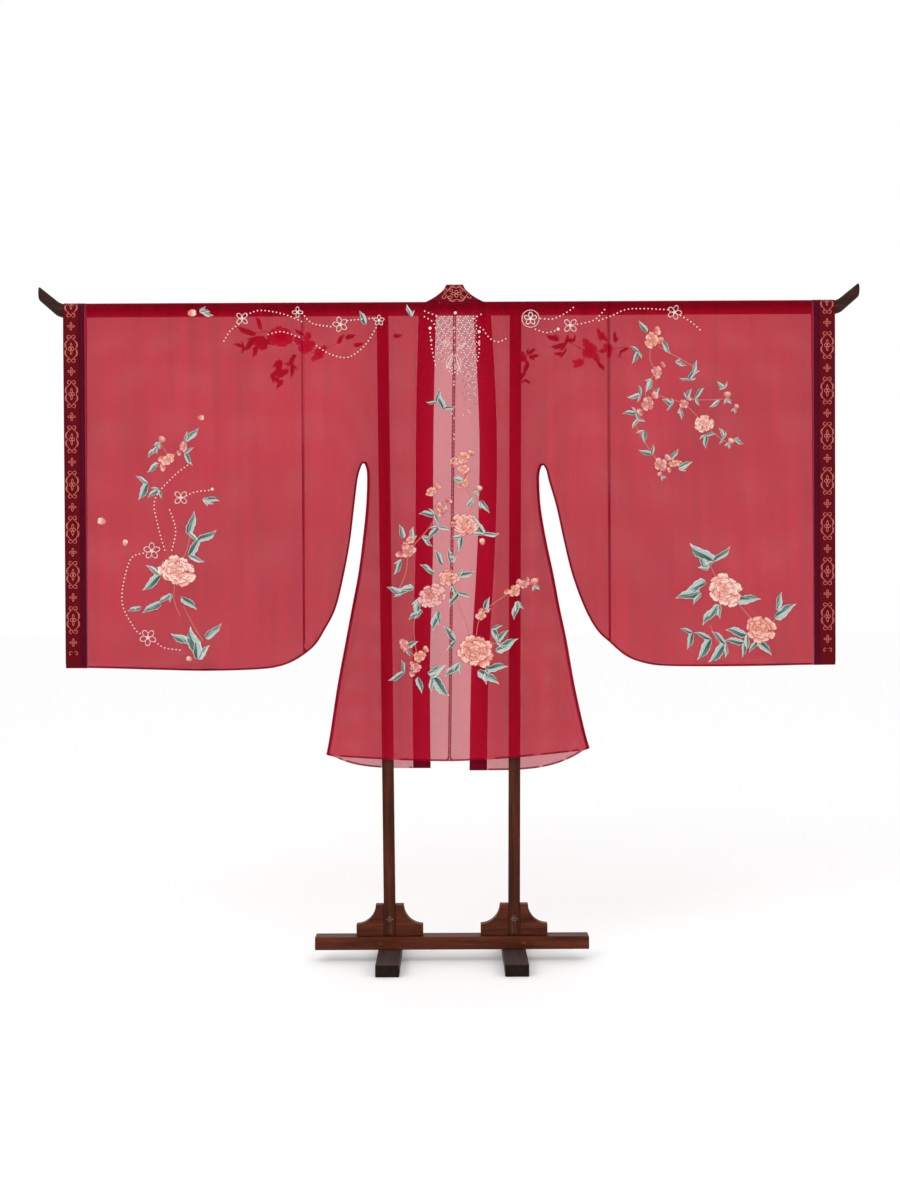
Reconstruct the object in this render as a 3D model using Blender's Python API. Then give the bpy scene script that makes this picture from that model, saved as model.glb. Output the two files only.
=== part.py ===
"""Sheer wide-sleeved hanfu robe hung over the pole of a wooden garment stand.

Metres, +Z up. X runs along the pole. The back of the robe faces -Y and its open
fronts face +Y. The origin is on the floor under the middle of the pole.

Each cloth piece is cut in a flat pattern, as the real one is. In the pattern x runs
along the pole and v runs down from the top of the pole, positive on the back and
negative on the front. The pattern is then folded over the pole, front and back are
closed along the side seam and the underside of the sleeve, and the wall gets its
thickness.
"""
import math

import bmesh
import bpy
from mathutils import Vector
from mathutils.geometry import delaunay_2d_cdt

SEAM_GAP = 0.0003

# The stand
FOOT_LENGTH = 0.400
FOOT_WIDTH = 0.062
FOOT_HEIGHT = 0.0315
STRETCHER_LENGTH = 0.736
STRETCHER_DEPTH = 0.054
STRETCHER_HEIGHT = 0.0345
POST_SIDE = 0.031
POST_BASE_X = 0.1673
POST_TOP_X = 0.1795
BRACKET_HEIGHT = 0.084
BRACKET_REACH = 0.074
BRACKET_TOP_REACH = 0.022
BRACKET_EDGE_HEIGHT = 0.031
BRACKET_THICKNESS = 0.028
BRACKET_STEPS = 8
BRACKET_CHAMFER = 0.0015
WOOD_CHAMFER = 0.0025
SHARP_ANGLE = math.radians(40)

POLE_Z = 1.7555
POLE_HALF_HEIGHT = 0.0180
POLE_HALF_DEPTH = 0.0165
POLE_HALF_SPAN = 1.106
POLE_STRAIGHT = 1.035
POLE_BEND_RADIUS = 0.040
POLE_BEND_ANGLE = math.radians(40)
POLE_BEND_STEPS = 4
POLE_BEND_HALF_HEIGHT = 0.0202
POLE_TIP_HALF_HEIGHT = 0.0187
POLE_TIP_HALF_DEPTH = 0.0140
POLE_SIDES = 20

# The robe on the pole
CLOTH_WALL = 0.0012
TRIM_WALL = 0.0016
BAND_WALL = 0.0018
POLE_CLEARANCE = 0.0015
SHOULDER_Z = POLE_Z
TOP_GAP = POLE_HALF_DEPTH + POLE_CLEARANCE
ARC_RISE = POLE_HALF_HEIGHT + POLE_CLEARANCE
ARC_LENGTH = 0.5 * math.pi * 0.5 * (TOP_GAP + ARC_RISE)
ARC_STEPS = 4

CUFF_EDGE_X = 1.0376
BROCADE_WIDTH = 0.0430
CUFF_TRIM_WIDTH = 0.0130
SLEEVE_SEAM_X = {-1: -0.3955, 1: 0.4300}

CENTRE_TOP_X = 0.0155
CENTRE_HEM_X = -0.0045
BACK_HEM_Z = 0.5377
FRONT_HEM_Z = {-1: 0.5130, 1: 0.5060}
BACK_HEM_POWER = 1.6
FRONT_HEM_POWER = 3.4

# How far front and back stand from the plane of the pole
EDGE_GAP = 0.0030
EDGE_BULGE = 0.0020
EDGE_ROUNDING = 0.030
EDGE_INSETS = (0.010, 0.028)
EDGE_CLEAR = 0.040
SLEEVE_LOW_GAP = 0.0070
HEM_GAP = {"back": 0.0300, "front": 0.0340}
BODY_REACH = 0.20
SLEEVE_REACH = 0.33
SLEEVE_BOTTOM_Z = 0.787
FOLD_START = 0.16

# The slit between the body and the sleeve: distance from X = 0 of its middle at
# the two heights, and the height below which the body hangs free of the sleeve
SLIT_TOP_Z = 1.330
SLIT_LOW_Z = 0.889
SLIT_MIDDLE = {-1: (0.232, 0.310), 1: (0.248, 0.350)}
BODY_FREE_Z = 0.950

COLUMN_STEP = 0.055
ROW_STEP = 0.055
ROW_CLEAR = 0.004
NECK_COLUMN_STEP = 0.014
NECK_REACH = 0.126
ARC_MARGIN = 0.0035
PANEL_MARGIN = 0.014
INSET_MARGIN = 0.006
ROUNDING_SLACK = 1e-5
CUT_TOLERANCE = 1e-7

# Outline of each side from the hem corner up the side seam, round the armpit and
# out along the underside of the sleeve to the cuff.
# left x, left z, right x, right z
LOWER_EDGE = [
    (-0.3352, 0.5536, 0.3723, 0.5675),
    (-0.3255, 0.6036, 0.3580, 0.6200),
    (-0.3038, 0.7416, 0.3325, 0.7380),
    (-0.2810, 0.8613, 0.3115, 0.8600),
    (-0.2638, 0.9514, 0.2932, 0.9490),
    (-0.2465, 1.0412, 0.2767, 1.0390),
    (-0.2342, 1.1313, 0.2581, 1.1290),
    (-0.2246, 1.2211, 0.2434, 1.2190),
    (-0.2213, 1.2937, 0.2395, 1.2915),
    (-0.2235, 1.3270, 0.2425, 1.3210),
    (-0.2325, 1.3435, 0.2510, 1.3360),
    (-0.2430, 1.3270, 0.2620, 1.3210),
    (-0.2514, 1.2937, 0.2691, 1.2915),
    (-0.2606, 1.2211, 0.2897, 1.2190),
    (-0.2718, 1.1313, 0.3089, 1.1290),
    (-0.2887, 1.0412, 0.3307, 1.0390),
    (-0.3115, 0.9500, 0.3634, 0.9490),
    (-0.3430, 0.8890, 0.3963, 0.8890),
    (-0.3705, 0.8480, 0.4304, 0.8557),
    (-0.4170, 0.8134, 0.4765, 0.8170),
    (-0.4633, 0.7948, 0.5304, 0.7975),
    (-0.5252, 0.7871, 0.5882, 0.7910),
    (-0.6564, 0.7839, 0.7000, 0.7895),
    (-0.7797, 0.7870, 0.8300, 0.7900),
    (-0.9500, 0.7925, 0.9500, 0.7920),
    (-1.0600, 0.7930, 1.0600, 0.7930),
]
EDGE_SUBSTEPS = 2

# Edge of each front where the front band is sewn on, from the shoulder to the hem.
# z, left x, right x
FRONT_EDGE = [
    (1.7555, -0.0825, 0.1135),
    (1.6000, -0.0880, 0.1230),
    (1.4000, -0.0923, 0.1293),
    (1.2000, -0.0940, 0.1260),
    (1.0400, -0.0963, 0.1185),
    (0.8000, -0.1045, 0.1045),
    (0.4800, -0.1040, 0.0975),
]

# Neck edge from the nape over the shoulder to the front, and the way the band
# stands on it: share of the arc over the pole, distance from the centre back,
# lean to the centre, lean backwards, rise
NECK_EDGE = [
    (0.50, 0.000, 0.00, 0.12, 1.00),
    (0.42, 0.030, 0.35, 0.10, 0.93),
    (0.25, 0.055, 0.62, 0.05, 0.78),
    (0.00, 0.075, 0.80, 0.00, 0.60),
    (-0.50, 0.090, 0.97, 0.00, 0.25),
    (-1.00, 0.098, 1.00, 0.00, 0.00),
]
NECK_SUBSTEPS = 2
BAND_WIDTH = 0.048
BAND_STRIPS = 3
BAND_WALL_SHARE = 0.55

# The largest slack folds: layer, x at the top, x at the bottom, half width,
# height out of the layer, z of the middle, half length
FOLDS = [
    ("back", -0.880, -0.900, 0.050, 0.0035, 1.15, 0.42),
    ("back", -0.640, -0.610, 0.045, 0.0045, 1.20, 0.40),
    ("back", -0.470, -0.460, 0.035, 0.0030, 1.28, 0.34),
    ("back", -0.080, -0.105, 0.030, 0.0050, 0.98, 0.42),
    ("back", 0.075, 0.090, 0.032, 0.0060, 0.92, 0.40),
    ("back", 0.250, 0.275, 0.022, 0.0050, 0.86, 0.26),
    ("back", 0.540, 0.520, 0.045, 0.0040, 1.22, 0.40),
    ("back", 0.800, 0.830, 0.050, 0.0040, 1.12, 0.42),
    ("front", -0.820, -0.800, 0.050, 0.0040, 1.18, 0.40),
    ("front", -0.560, -0.590, 0.045, 0.0035, 1.15, 0.38),
    ("front", -0.230, -0.255, 0.026, 0.0060, 0.84, 0.26),
    ("front", -0.130, -0.140, 0.024, 0.0045, 0.98, 0.40),
    ("front", 0.150, 0.145, 0.026, 0.0055, 0.95, 0.42),
    ("front", 0.600, 0.640, 0.050, 0.0040, 1.20, 0.40),
    ("front", 0.900, 0.880, 0.045, 0.0035, 1.14, 0.40),
]


def clear_scene():
    for item in list(bpy.data.objects):
        bpy.data.objects.remove(item, do_unlink=True)


def material(name, colour, roughness, metallic=0.0):
    made = bpy.data.materials.new(name)
    made.use_nodes = True
    shader = made.node_tree.nodes["Principled BSDF"]
    shader.inputs["Base Color"].default_value = (*colour, 1.0)
    shader.inputs["Roughness"].default_value = roughness
    shader.inputs["Metallic"].default_value = metallic
    return made


def place(name, mesh_source, surface, smooth=True):
    """Turn a bmesh into a named object with its material."""
    mesh = bpy.data.meshes.new(name)
    mesh_source.to_mesh(mesh)
    mesh_source.free()
    made = bpy.data.objects.new(name, mesh)
    bpy.context.scene.collection.objects.link(made)
    mesh.materials.append(surface)
    if smooth:
        mesh.shade_smooth()
        mesh.set_sharp_from_angle(angle=SHARP_ANGLE)
    return made


def mix(low, high, share):
    return low + (high - low) * share


def ease(share):
    held = min(1.0, max(0.0, share))
    return held * held * (3.0 - 2.0 * held)


def through(rows, substeps):
    """Points on a smooth curve through the rows, each row kept."""
    curve = []
    last = len(rows) - 1
    for index in range(last):
        before = rows[max(index - 1, 0)]
        start = rows[index]
        end = rows[index + 1]
        after = rows[min(index + 2, last)]
        for step in range(substeps):
            t = step / substeps
            curve.append(tuple(
                0.5 * (2 * b + (c - a) * t + (2 * a - 5 * b + 4 * c - d) * t ** 2
                       + (3 * b - a - 3 * c + d) * t ** 3)
                for a, b, c, d in zip(before, start, end, after)))
    curve.append(tuple(rows[last]))
    return curve


def lower_edge(side):
    first = 0 if side < 0 else 2
    rows = [(row[first], row[first + 1]) for row in LOWER_EDGE]
    return through(rows, EDGE_SUBSTEPS)


EDGES = {side: lower_edge(side) for side in (-1, 1)}


def between(curve, side, x_in, x_out):
    """The stretch of a sleeve's underside between two distances from the centre."""
    picked = []
    for here, there in zip(curve, curve[1:]):
        for limit in (x_in, x_out):
            if limit is None:
                continue
            if (here[0] - limit) * (there[0] - limit) < 0:
                share = (limit - here[0]) / (there[0] - here[0])
                picked.append((limit, mix(here[1], there[1], share)))
        inside_low = x_in is None or side * there[0] > side * x_in
        inside_high = x_out is None or side * there[0] < side * x_out
        if inside_low and inside_high:
            picked.append(there)
    return picked


def distance_to_edge(x, z):
    """Distance in the plane of the pole to the closed edge of that side."""
    edge = EDGES[-1 if x < 0 else 1]
    nearest = 1.0
    for (ax, az), (bx, bz) in zip(edge, edge[1:]):
        run_x = bx - ax
        run_z = bz - az
        share = ((x - ax) * run_x + (z - az) * run_z) / (run_x ** 2 + run_z ** 2)
        share = min(1.0, max(0.0, share))
        nearest = min(nearest, math.hypot(x - ax - share * run_x, z - az - share * run_z))
    return nearest


def fold_height(layer, x, z):
    height = 0.0
    for fold_layer, top_x, low_x, width, rise, middle, reach in FOLDS:
        if fold_layer != layer:
            continue
        along = (middle - z) / reach
        if abs(along) >= 1.0:
            continue
        centre = mix(top_x, low_x, 0.5 + 0.5 * along)
        across = (x - centre) / width
        height += rise * math.exp(-across * across) * (1.0 - along * along) ** 2
    return height


def sleeve_share(x, z):
    """How much a point hangs as the sleeve does: 0 on the body and 1 on the sleeve."""
    share = ease((abs(x) - BODY_REACH) / (SLEEVE_REACH - BODY_REACH))
    middle = mix(*SLIT_MIDDLE[-1 if x < 0 else 1], (SLIT_TOP_Z - z) / (SLIT_TOP_Z - SLIT_LOW_Z))
    if z < SLIT_TOP_Z and (abs(x) < middle or z < SLEEVE_BOTTOM_Z):
        share *= ease((z - BODY_FREE_Z) / (SLIT_TOP_Z - BODY_FREE_Z))
    return share


def half_gap(layer, x, z):
    """How far the middle of the cloth stands from the plane of the pole."""
    drop = max(0.0, SHOULDER_Z - z)
    sleeve = mix(TOP_GAP, SLEEVE_LOW_GAP, min(1.0, drop / (SHOULDER_Z - SLEEVE_BOTTOM_Z)))
    body = mix(TOP_GAP, HEM_GAP[layer], drop / (SHOULDER_Z - BACK_HEM_Z))
    open_gap = mix(body, sleeve, sleeve_share(x, z) * ease(drop / FOLD_START))
    open_gap += fold_height(layer, x, z) * ease(drop / FOLD_START)
    near = 1.0 - min(1.0, distance_to_edge(x, z) / EDGE_ROUNDING)
    return EDGE_GAP + (open_gap - EDGE_GAP) * math.sqrt(1.0 - near * near)


def lift(x, v):
    """Fold a point of the flat pattern over the pole."""
    side = -1.0 if v > 0 else 1.0
    if abs(v) <= ARC_LENGTH:
        angle = 0.5 * math.pi * abs(v) / ARC_LENGTH
        return Vector((x, side * TOP_GAP * math.sin(angle), SHOULDER_Z + ARC_RISE * math.cos(angle)))
    z = pattern_z(v)
    layer = "back" if v > 0 else "front"
    return Vector((x, side * half_gap(layer, x, z), z))


def pattern_v(z):
    return ARC_LENGTH + SHOULDER_Z - z


def pattern_z(v):
    return SHOULDER_Z - max(0.0, abs(v) - ARC_LENGTH)


def pattern_rows():
    """Rows of the pattern: close together over the pole, wide apart below it."""
    rows = [ARC_LENGTH * step / ARC_STEPS for step in range(ARC_STEPS + 1)]
    count = math.ceil((SHOULDER_Z - min(FRONT_HEM_Z.values())) / ROW_STEP)
    rows += [ARC_LENGTH + ROW_STEP * (step + 1) for step in range(count)]
    return sorted({round(sign * row, 6) for row in rows for sign in (-1, 1)})


ROWS = pattern_rows()


def upright(x_at, v_from, v_to):
    """A cut from one row to another, with a point on each row between them."""
    low = min(v_from, v_to)
    high = max(v_from, v_to)
    inner = [row for row in ROWS if low + ROW_CLEAR < row < high - ROW_CLEAR]
    values = [low] + inner + [high]
    if v_from > v_to:
        values.reverse()
    return [(x_at(v), v) for v in values]


def centre_x(v):
    drop = max(0.0, v - ARC_LENGTH)
    return mix(CENTRE_TOP_X, CENTRE_HEM_X, drop / (SHOULDER_Z - BACK_HEM_Z))


def front_edge_x(side, z):
    column = 1 if side < 0 else 2
    for upper, lower in zip(FRONT_EDGE, FRONT_EDGE[1:]):
        if z >= lower[0]:
            share = (upper[0] - z) / (upper[0] - lower[0])
            return mix(upper[column], lower[column], share)
    return FRONT_EDGE[-1][column]


def hem_z(layer, side, x):
    corner_x, corner_z = EDGES[side][0]
    if layer == "back":
        middle_x = CENTRE_HEM_X
        middle_z = BACK_HEM_Z
        power = BACK_HEM_POWER
    else:
        middle_x = front_edge_x(side, FRONT_HEM_Z[side])
        middle_z = FRONT_HEM_Z[side]
        power = FRONT_HEM_POWER
    share = min(1.0, max(0.0, (x - middle_x) / (corner_x - middle_x)))
    return mix(middle_z, corner_z, share ** power)


def hem_points(layer, side, x_from, x_to):
    """Hem points between the corner and the middle, both left out."""
    count = max(2, round(abs(x_to - x_from) / COLUMN_STEP))
    sign = 1.0 if layer == "back" else -1.0
    points = []
    for step in range(1, count):
        x = mix(x_from, x_to, step / count)
        points.append((x, sign * pattern_v(hem_z(layer, side, x))))
    return points


def neck_curve():
    return through(NECK_EDGE, NECK_SUBSTEPS)


def inside(x, v, outline, margin):
    """True where a point lies in the outline and clear of its edge."""
    crossings = False
    for (ax, av), (bx, bv) in zip(outline, outline[1:] + outline[:1]):
        run_x = bx - ax
        run_v = bv - av
        share = ((x - ax) * run_x + (v - av) * run_v) / (run_x ** 2 + run_v ** 2)
        share = min(1.0, max(0.0, share))
        if math.hypot(x - ax - share * run_x, v - av - share * run_v) < margin:
            return False
        if (av > v) != (bv > v) and x < ax + (v - av) / run_v * run_x:
            crossings = not crossings
    return crossings


def outward_ways(side, closed_points):
    """The way out of the cloth, in the plane of the pole, at each closed point."""
    ways = []
    last = len(closed_points) - 1
    for index in range(last + 1):
        before = closed_points[max(index - 1, 0)]
        after = closed_points[min(index + 1, last)]
        run = Vector((after[0] - before[0], after[1] - before[1])).normalized()
        ways.append(Vector((side * run.y, -side * run.x)))
    return ways


def columns(outline, over_pole):
    """Columns of inner points, closer together round the neck."""
    low_x = min(point[0] for point in outline)
    high_x = max(point[0] for point in outline)
    count = max(1, round((high_x - low_x) / COLUMN_STEP))
    wide = [mix(low_x, high_x, column / count) for column in range(1, count)]
    if not over_pole:
        return wide
    neck_count = round(2 * NECK_REACH / NECK_COLUMN_STEP)
    close = [CENTRE_TOP_X + NECK_REACH * (2 * column / neck_count - 1) for column in range(neck_count + 1)]
    return close + [x for x in wide if abs(x - CENTRE_TOP_X) > NECK_REACH + NECK_COLUMN_STEP]


def cloth(name, side, outline, closed_points, wall, surface):
    """Cut a pattern piece, fold it over the pole and close it along its lower edge.

    closed_points are the points of the side seam and the sleeve's underside, which
    lie in the outline once for the back and once for the front.
    """
    points = list(outline)
    for row in ROWS:
        over_pole = abs(row) <= ARC_LENGTH + ROUNDING_SLACK
        margin = ARC_MARGIN if over_pole else PANEL_MARGIN
        for x in columns(outline, over_pole):
            near_edge = distance_to_edge(x, pattern_z(row)) < EDGE_CLEAR
            if not near_edge and inside(x, row, outline, margin):
                points.append((x, row))
    outwards = outward_ways(side, closed_points)
    for inset in EDGE_INSETS:
        for (x, z), outward in zip(closed_points, outwards):
            in_x = x - outward.x * inset
            in_v = pattern_v(z - outward.y * inset)
            points += [(in_x, v) for v in (in_v, -in_v) if inside(in_x, v, outline, INSET_MARGIN)]
    ring = list(range(len(outline)))
    flat = [Vector(point) for point in points]
    found = delaunay_2d_cdt(flat, [], [ring], 1, CUT_TOLERANCE)
    flat_points, faces, origins = found[0], found[2], found[3]

    shell = bmesh.new()
    corners = [shell.verts.new(lift(point.x, point.y)) for point in flat_points]
    for face in faces:
        shell.faces.new([corners[index] for index in face])
    by_input = {}
    for index, sources in enumerate(origins):
        for source in sources:
            by_input[source] = corners[index]
    place_of = {(round(x, 7), round(v, 7)): index for index, (x, v) in enumerate(outline)}

    rails = []
    for (x, z), outward in zip(closed_points, outwards):
        middle = shell.verts.new((x + outward.x * EDGE_BULGE, 0.0, z + outward.y * EDGE_BULGE))
        v = pattern_v(z)
        back = by_input[place_of[(round(x, 7), round(v, 7))]]
        front = by_input[place_of[(round(x, 7), round(-v, 7))]]
        rails.append((back, middle, front))
    for here, there in zip(rails, rails[1:]):
        shell.faces.new((here[0], there[0], there[1], here[1]))
        shell.faces.new((here[1], there[1], there[2], here[2]))
    bmesh.ops.recalc_face_normals(shell, faces=shell.faces)
    piece = place(name, shell, surface)
    thicken(piece, wall)
    return piece


def thicken(piece, wall):
    solid = piece.modifiers.new("wall", "SOLIDIFY")
    solid.thickness = wall
    solid.offset = 0.0
    solid.use_rim = True


def body_half(name, side, surface):
    """One half of the body: back and front in one, from the centre back seam
    to the sleeve seam, with the upper part of the sleeve."""
    seam_x = SLEEVE_SEAM_X[side] - side * 0.5 * SEAM_GAP
    closed = [EDGES[side][0]] + between(EDGES[side], side, None, seam_x)
    corner_x, corner_z = EDGES[side][0]
    end_v = pattern_v(closed[-1][1])

    centre_shift = side * 0.5 * SEAM_GAP
    nape_v = NECK_EDGE[0][0] * ARC_LENGTH
    back_hem_v = pattern_v(BACK_HEM_Z)
    outline = upright(lambda v: centre_x(v) + centre_shift, back_hem_v, nape_v)
    for row in neck_curve()[1:-1]:
        outline.append((CENTRE_TOP_X + side * row[1], row[0] * ARC_LENGTH))
    front_hem_v = -pattern_v(FRONT_HEM_Z[side])
    front = upright(lambda v: front_edge_x(side, pattern_z(v)),
                    -ARC_LENGTH, front_hem_v)
    outline += front
    outline += hem_points("front", side, front[-1][0], corner_x)
    outline += [(x, -pattern_v(z)) for x, z in closed]
    outline += upright(lambda v: seam_x, -end_v, end_v)[1:-1]
    outline += [(x, pattern_v(z)) for x, z in reversed(closed)]
    outline += hem_points("back", side, corner_x, outline[0][0])
    return cloth(name, side, outline, closed, CLOTH_WALL, surface)


def sleeve_ring(name, side, x_in, x_out, wall, surface):
    """A stretch of the sleeve, back and front in one, folded over the pole."""
    start = side * x_in
    end = side * x_out
    closed = between(EDGES[side], side, start, end)
    outline = upright(lambda v: start, pattern_v(closed[0][1]), -pattern_v(closed[0][1]))
    outline += [(x, -pattern_v(z)) for x, z in closed[1:]]
    outline += upright(lambda v: end, -pattern_v(closed[-1][1]), pattern_v(closed[-1][1]))[1:]
    outline += [(x, pattern_v(z)) for x, z in reversed(closed[1:-1])]
    return cloth(name, side, outline, closed, wall, surface)


def neck_stations(side):
    """Band stations from the front edge at the shoulder to the nape."""
    rows = neck_curve()
    edge = [lift(CENTRE_TOP_X + side * row[1], row[0] * ARC_LENGTH) for row in rows]
    stations = []
    for index, row in enumerate(rows):
        here = edge[index]
        ahead = edge[max(index - 1, 0)]
        behind = edge[min(index + 1, len(edge) - 1)]
        along = (ahead - behind).normalized()
        if index == 0:
            along = Vector((-side, 0.0, 0.0))
        outward = Vector((0.0, here.y / TOP_GAP ** 2, (here.z - SHOULDER_Z) / ARC_RISE ** 2)).normalized()
        beyond = (along.cross(outward) * side).normalized()
        lean = Vector((-side * row[2], -row[3], row[4])).normalized()
        spread = max(0.0, 1.0 - max(0.0, beyond.dot(lean)) ** 2) ** 0.5
        start = here + beyond * (SEAM_GAP + BAND_WALL_SHARE * BAND_WALL * spread)
        stations.append([start + lean * BAND_WIDTH * strip / BAND_STRIPS
                         for strip in range(BAND_STRIPS + 1)])
    stations.reverse()
    return stations


def front_stations(side):
    """Band stations from the hem up the front edge, below the shoulder."""
    stations = []
    rows = upright(lambda v: 0.0, -pattern_v(FRONT_HEM_Z[side]), -ARC_LENGTH)
    for _, v in rows[:-1]:
        z = pattern_z(v)
        outer = front_edge_x(side, z) - side * SEAM_GAP
        stations.append([lift(outer - side * BAND_WIDTH * strip / BAND_STRIPS, v)
                         for strip in range(BAND_STRIPS + 1)])
    return stations


def collar_band(surface):
    """The band down both fronts and round the neck, in one strip."""
    left = front_stations(-1) + neck_stations(-1)
    right = front_stations(1) + neck_stations(1)
    stations = left + right[-2::-1]
    shell = bmesh.new()
    grid = [[shell.verts.new(point) for point in station] for station in stations]
    for here, there in zip(grid, grid[1:]):
        for strip in range(BAND_STRIPS):
            shell.faces.new((here[strip], there[strip], there[strip + 1], here[strip + 1]))
    bmesh.ops.recalc_face_normals(shell, faces=shell.faces)
    piece = place("collar_band", shell, surface)
    thicken(piece, BAND_WALL)
    return piece


def pole_section(x, z, half_height, half_depth):
    return [(x, half_depth * math.cos(turn), z + half_height * math.sin(turn))
            for turn in (2 * math.pi * side / POLE_SIDES for side in range(POLE_SIDES))]


def pole(surface):
    """The pole: straight under the robe, with both ends bent up."""
    bend_run = POLE_BEND_RADIUS * math.sin(POLE_BEND_ANGLE)
    bend_rise = POLE_BEND_RADIUS * (1.0 - math.cos(POLE_BEND_ANGLE))
    tip_run = POLE_HALF_SPAN - POLE_STRAIGHT - bend_run
    half = [(POLE_STRAIGHT, POLE_Z, POLE_HALF_HEIGHT, POLE_HALF_DEPTH)]
    for step in range(1, POLE_BEND_STEPS + 1):
        share = step / POLE_BEND_STEPS
        angle = POLE_BEND_ANGLE * share
        half.append((POLE_STRAIGHT + POLE_BEND_RADIUS * math.sin(angle),
                     POLE_Z + POLE_BEND_RADIUS * (1.0 - math.cos(angle)),
                     mix(POLE_HALF_HEIGHT, POLE_BEND_HALF_HEIGHT, share), POLE_HALF_DEPTH))
    half.append((POLE_HALF_SPAN, POLE_Z + bend_rise + tip_run * math.tan(POLE_BEND_ANGLE),
                 POLE_TIP_HALF_HEIGHT, POLE_TIP_HALF_DEPTH))
    path = [(-x, z, height, depth) for x, z, height, depth in reversed(half)] + half
    body = bmesh.new()
    rings = []
    for x, z, height, depth in path:
        rings.append([body.verts.new(point) for point in pole_section(x, z, height, depth)])
    for here, there in zip(rings, rings[1:]):
        for side in range(POLE_SIDES):
            following = (side + 1) % POLE_SIDES
            body.faces.new((here[side], here[following], there[following], there[side]))
    body.faces.new(rings[0])
    body.faces.new(reversed(rings[-1]))
    bmesh.ops.recalc_face_normals(body, faces=body.faces)
    return place("pole", body, surface)


def post_x(z):
    """Middle of the right post at a height; the posts lean apart a little."""
    base = FOOT_HEIGHT + STRETCHER_HEIGHT
    return mix(POST_BASE_X, POST_TOP_X, (z - base) / (POLE_Z - POLE_HALF_HEIGHT - base))


def prism(name, outline, half_depth, surface, chamfer):
    """A block with an outline in X and Z, of equal depth each side of Y = 0."""
    body = bmesh.new()
    near = [body.verts.new((x, -half_depth, z)) for x, z in outline]
    far = [body.verts.new((x, half_depth, z)) for x, z in outline]
    count = len(outline)
    body.faces.new(near)
    body.faces.new(reversed(far))
    for index in range(count):
        following = (index + 1) % count
        body.faces.new((near[following], near[index], far[index], far[following]))
    bmesh.ops.recalc_face_normals(body, faces=body.faces)
    piece = place(name, body, surface)
    bevel = piece.modifiers.new("chamfer", "BEVEL")
    bevel.width = chamfer
    bevel.segments = 1
    bevel.limit_method = "ANGLE"
    bevel.angle_limit = SHARP_ANGLE
    return piece


def rectangle(x_low, x_high, z_low, z_high):
    return [(x_low, z_low), (x_high, z_low), (x_high, z_high), (x_low, z_high)]


def post(name, side, surface):
    low = FOOT_HEIGHT + STRETCHER_HEIGHT + 2 * SEAM_GAP
    high = POLE_Z - POLE_HALF_HEIGHT - SEAM_GAP
    half = 0.5 * POST_SIDE
    outline = [(side * post_x(low) - half, low), (side * post_x(low) + half, low),
               (side * post_x(high) + half, high), (side * post_x(high) - half, high)]
    return prism(name, outline, half, surface, WOOD_CHAMFER)


def bracket(name, side, outer, surface):
    """A curved bracket between the post and the stretcher, in the stretcher's plane."""
    low = FOOT_HEIGHT + STRETCHER_HEIGHT + 2 * SEAM_GAP
    high = low + BRACKET_HEIGHT
    away = side * outer
    face = 0.5 * POST_SIDE + SEAM_GAP
    radius_x = BRACKET_REACH - BRACKET_TOP_REACH
    radius_z = BRACKET_HEIGHT - BRACKET_EDGE_HEIGHT
    outline = [(side * post_x(low) + away * face, low),
               (side * post_x(low) + away * (face + BRACKET_REACH), low)]
    for step in range(BRACKET_STEPS + 1):
        angle = 0.5 * math.pi * step / BRACKET_STEPS
        outline.append((side * post_x(low) + away * (face + BRACKET_REACH - radius_x * math.sin(angle)),
                        high - radius_z * math.cos(angle)))
    outline.append((side * post_x(high) + away * face, high))
    return prism(name, outline, 0.5 * BRACKET_THICKNESS, surface, BRACKET_CHAMFER)


def foot(name, side, surface):
    x = side * POST_BASE_X
    outline = rectangle(x - 0.5 * FOOT_WIDTH, x + 0.5 * FOOT_WIDTH, 0.0, FOOT_HEIGHT)
    return prism(name, outline, 0.5 * FOOT_LENGTH, surface, WOOD_CHAMFER)


def stretcher(surface):
    low = FOOT_HEIGHT + SEAM_GAP
    outline = rectangle(-0.5 * STRETCHER_LENGTH, 0.5 * STRETCHER_LENGTH, low, low + STRETCHER_HEIGHT)
    return prism("stretcher", outline, 0.5 * STRETCHER_DEPTH, surface, WOOD_CHAMFER)


def stand():
    wood = material("dark_wood", (0.070, 0.022, 0.012), 0.42)
    foot_wood = material("foot_wood", (0.045, 0.022, 0.016), 0.38)
    pole(wood)
    stretcher(wood)
    for side, word in ((-1, "left"), (1, "right")):
        foot("foot_" + word, side, foot_wood)
        post("post_" + word, side, wood)
        bracket("bracket_" + word + "_outer", side, 1, wood)
        bracket("bracket_" + word + "_inner", side, -1, wood)


def robe():
    gauze = material("crimson_gauze", (0.500, 0.020, 0.070), 0.62)
    brocade = material("cuff_brocade", (0.180, 0.008, 0.016), 0.55)
    plum = material("plum_trim", (0.075, 0.004, 0.035), 0.55)
    band = material("crimson_band", (0.300, 0.004, 0.022), 0.58)
    trim_out = CUFF_EDGE_X - BROCADE_WIDTH - SEAM_GAP
    trim_in = trim_out - CUFF_TRIM_WIDTH
    for side, word in ((-1, "left"), (1, "right")):
        body_half("body_" + word, side, gauze)
        seam = side * SLEEVE_SEAM_X[side] + 0.5 * SEAM_GAP
        sleeve_ring("sleeve_" + word, side, seam, trim_in - SEAM_GAP, CLOTH_WALL, gauze)
        sleeve_ring("cuff_trim_" + word, side, trim_in, trim_out, TRIM_WALL, plum)
        sleeve_ring("cuff_brocade_" + word, side, trim_out + SEAM_GAP, CUFF_EDGE_X, TRIM_WALL, brocade)
    collar_band(band)


clear_scene()
stand()
robe()
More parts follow.
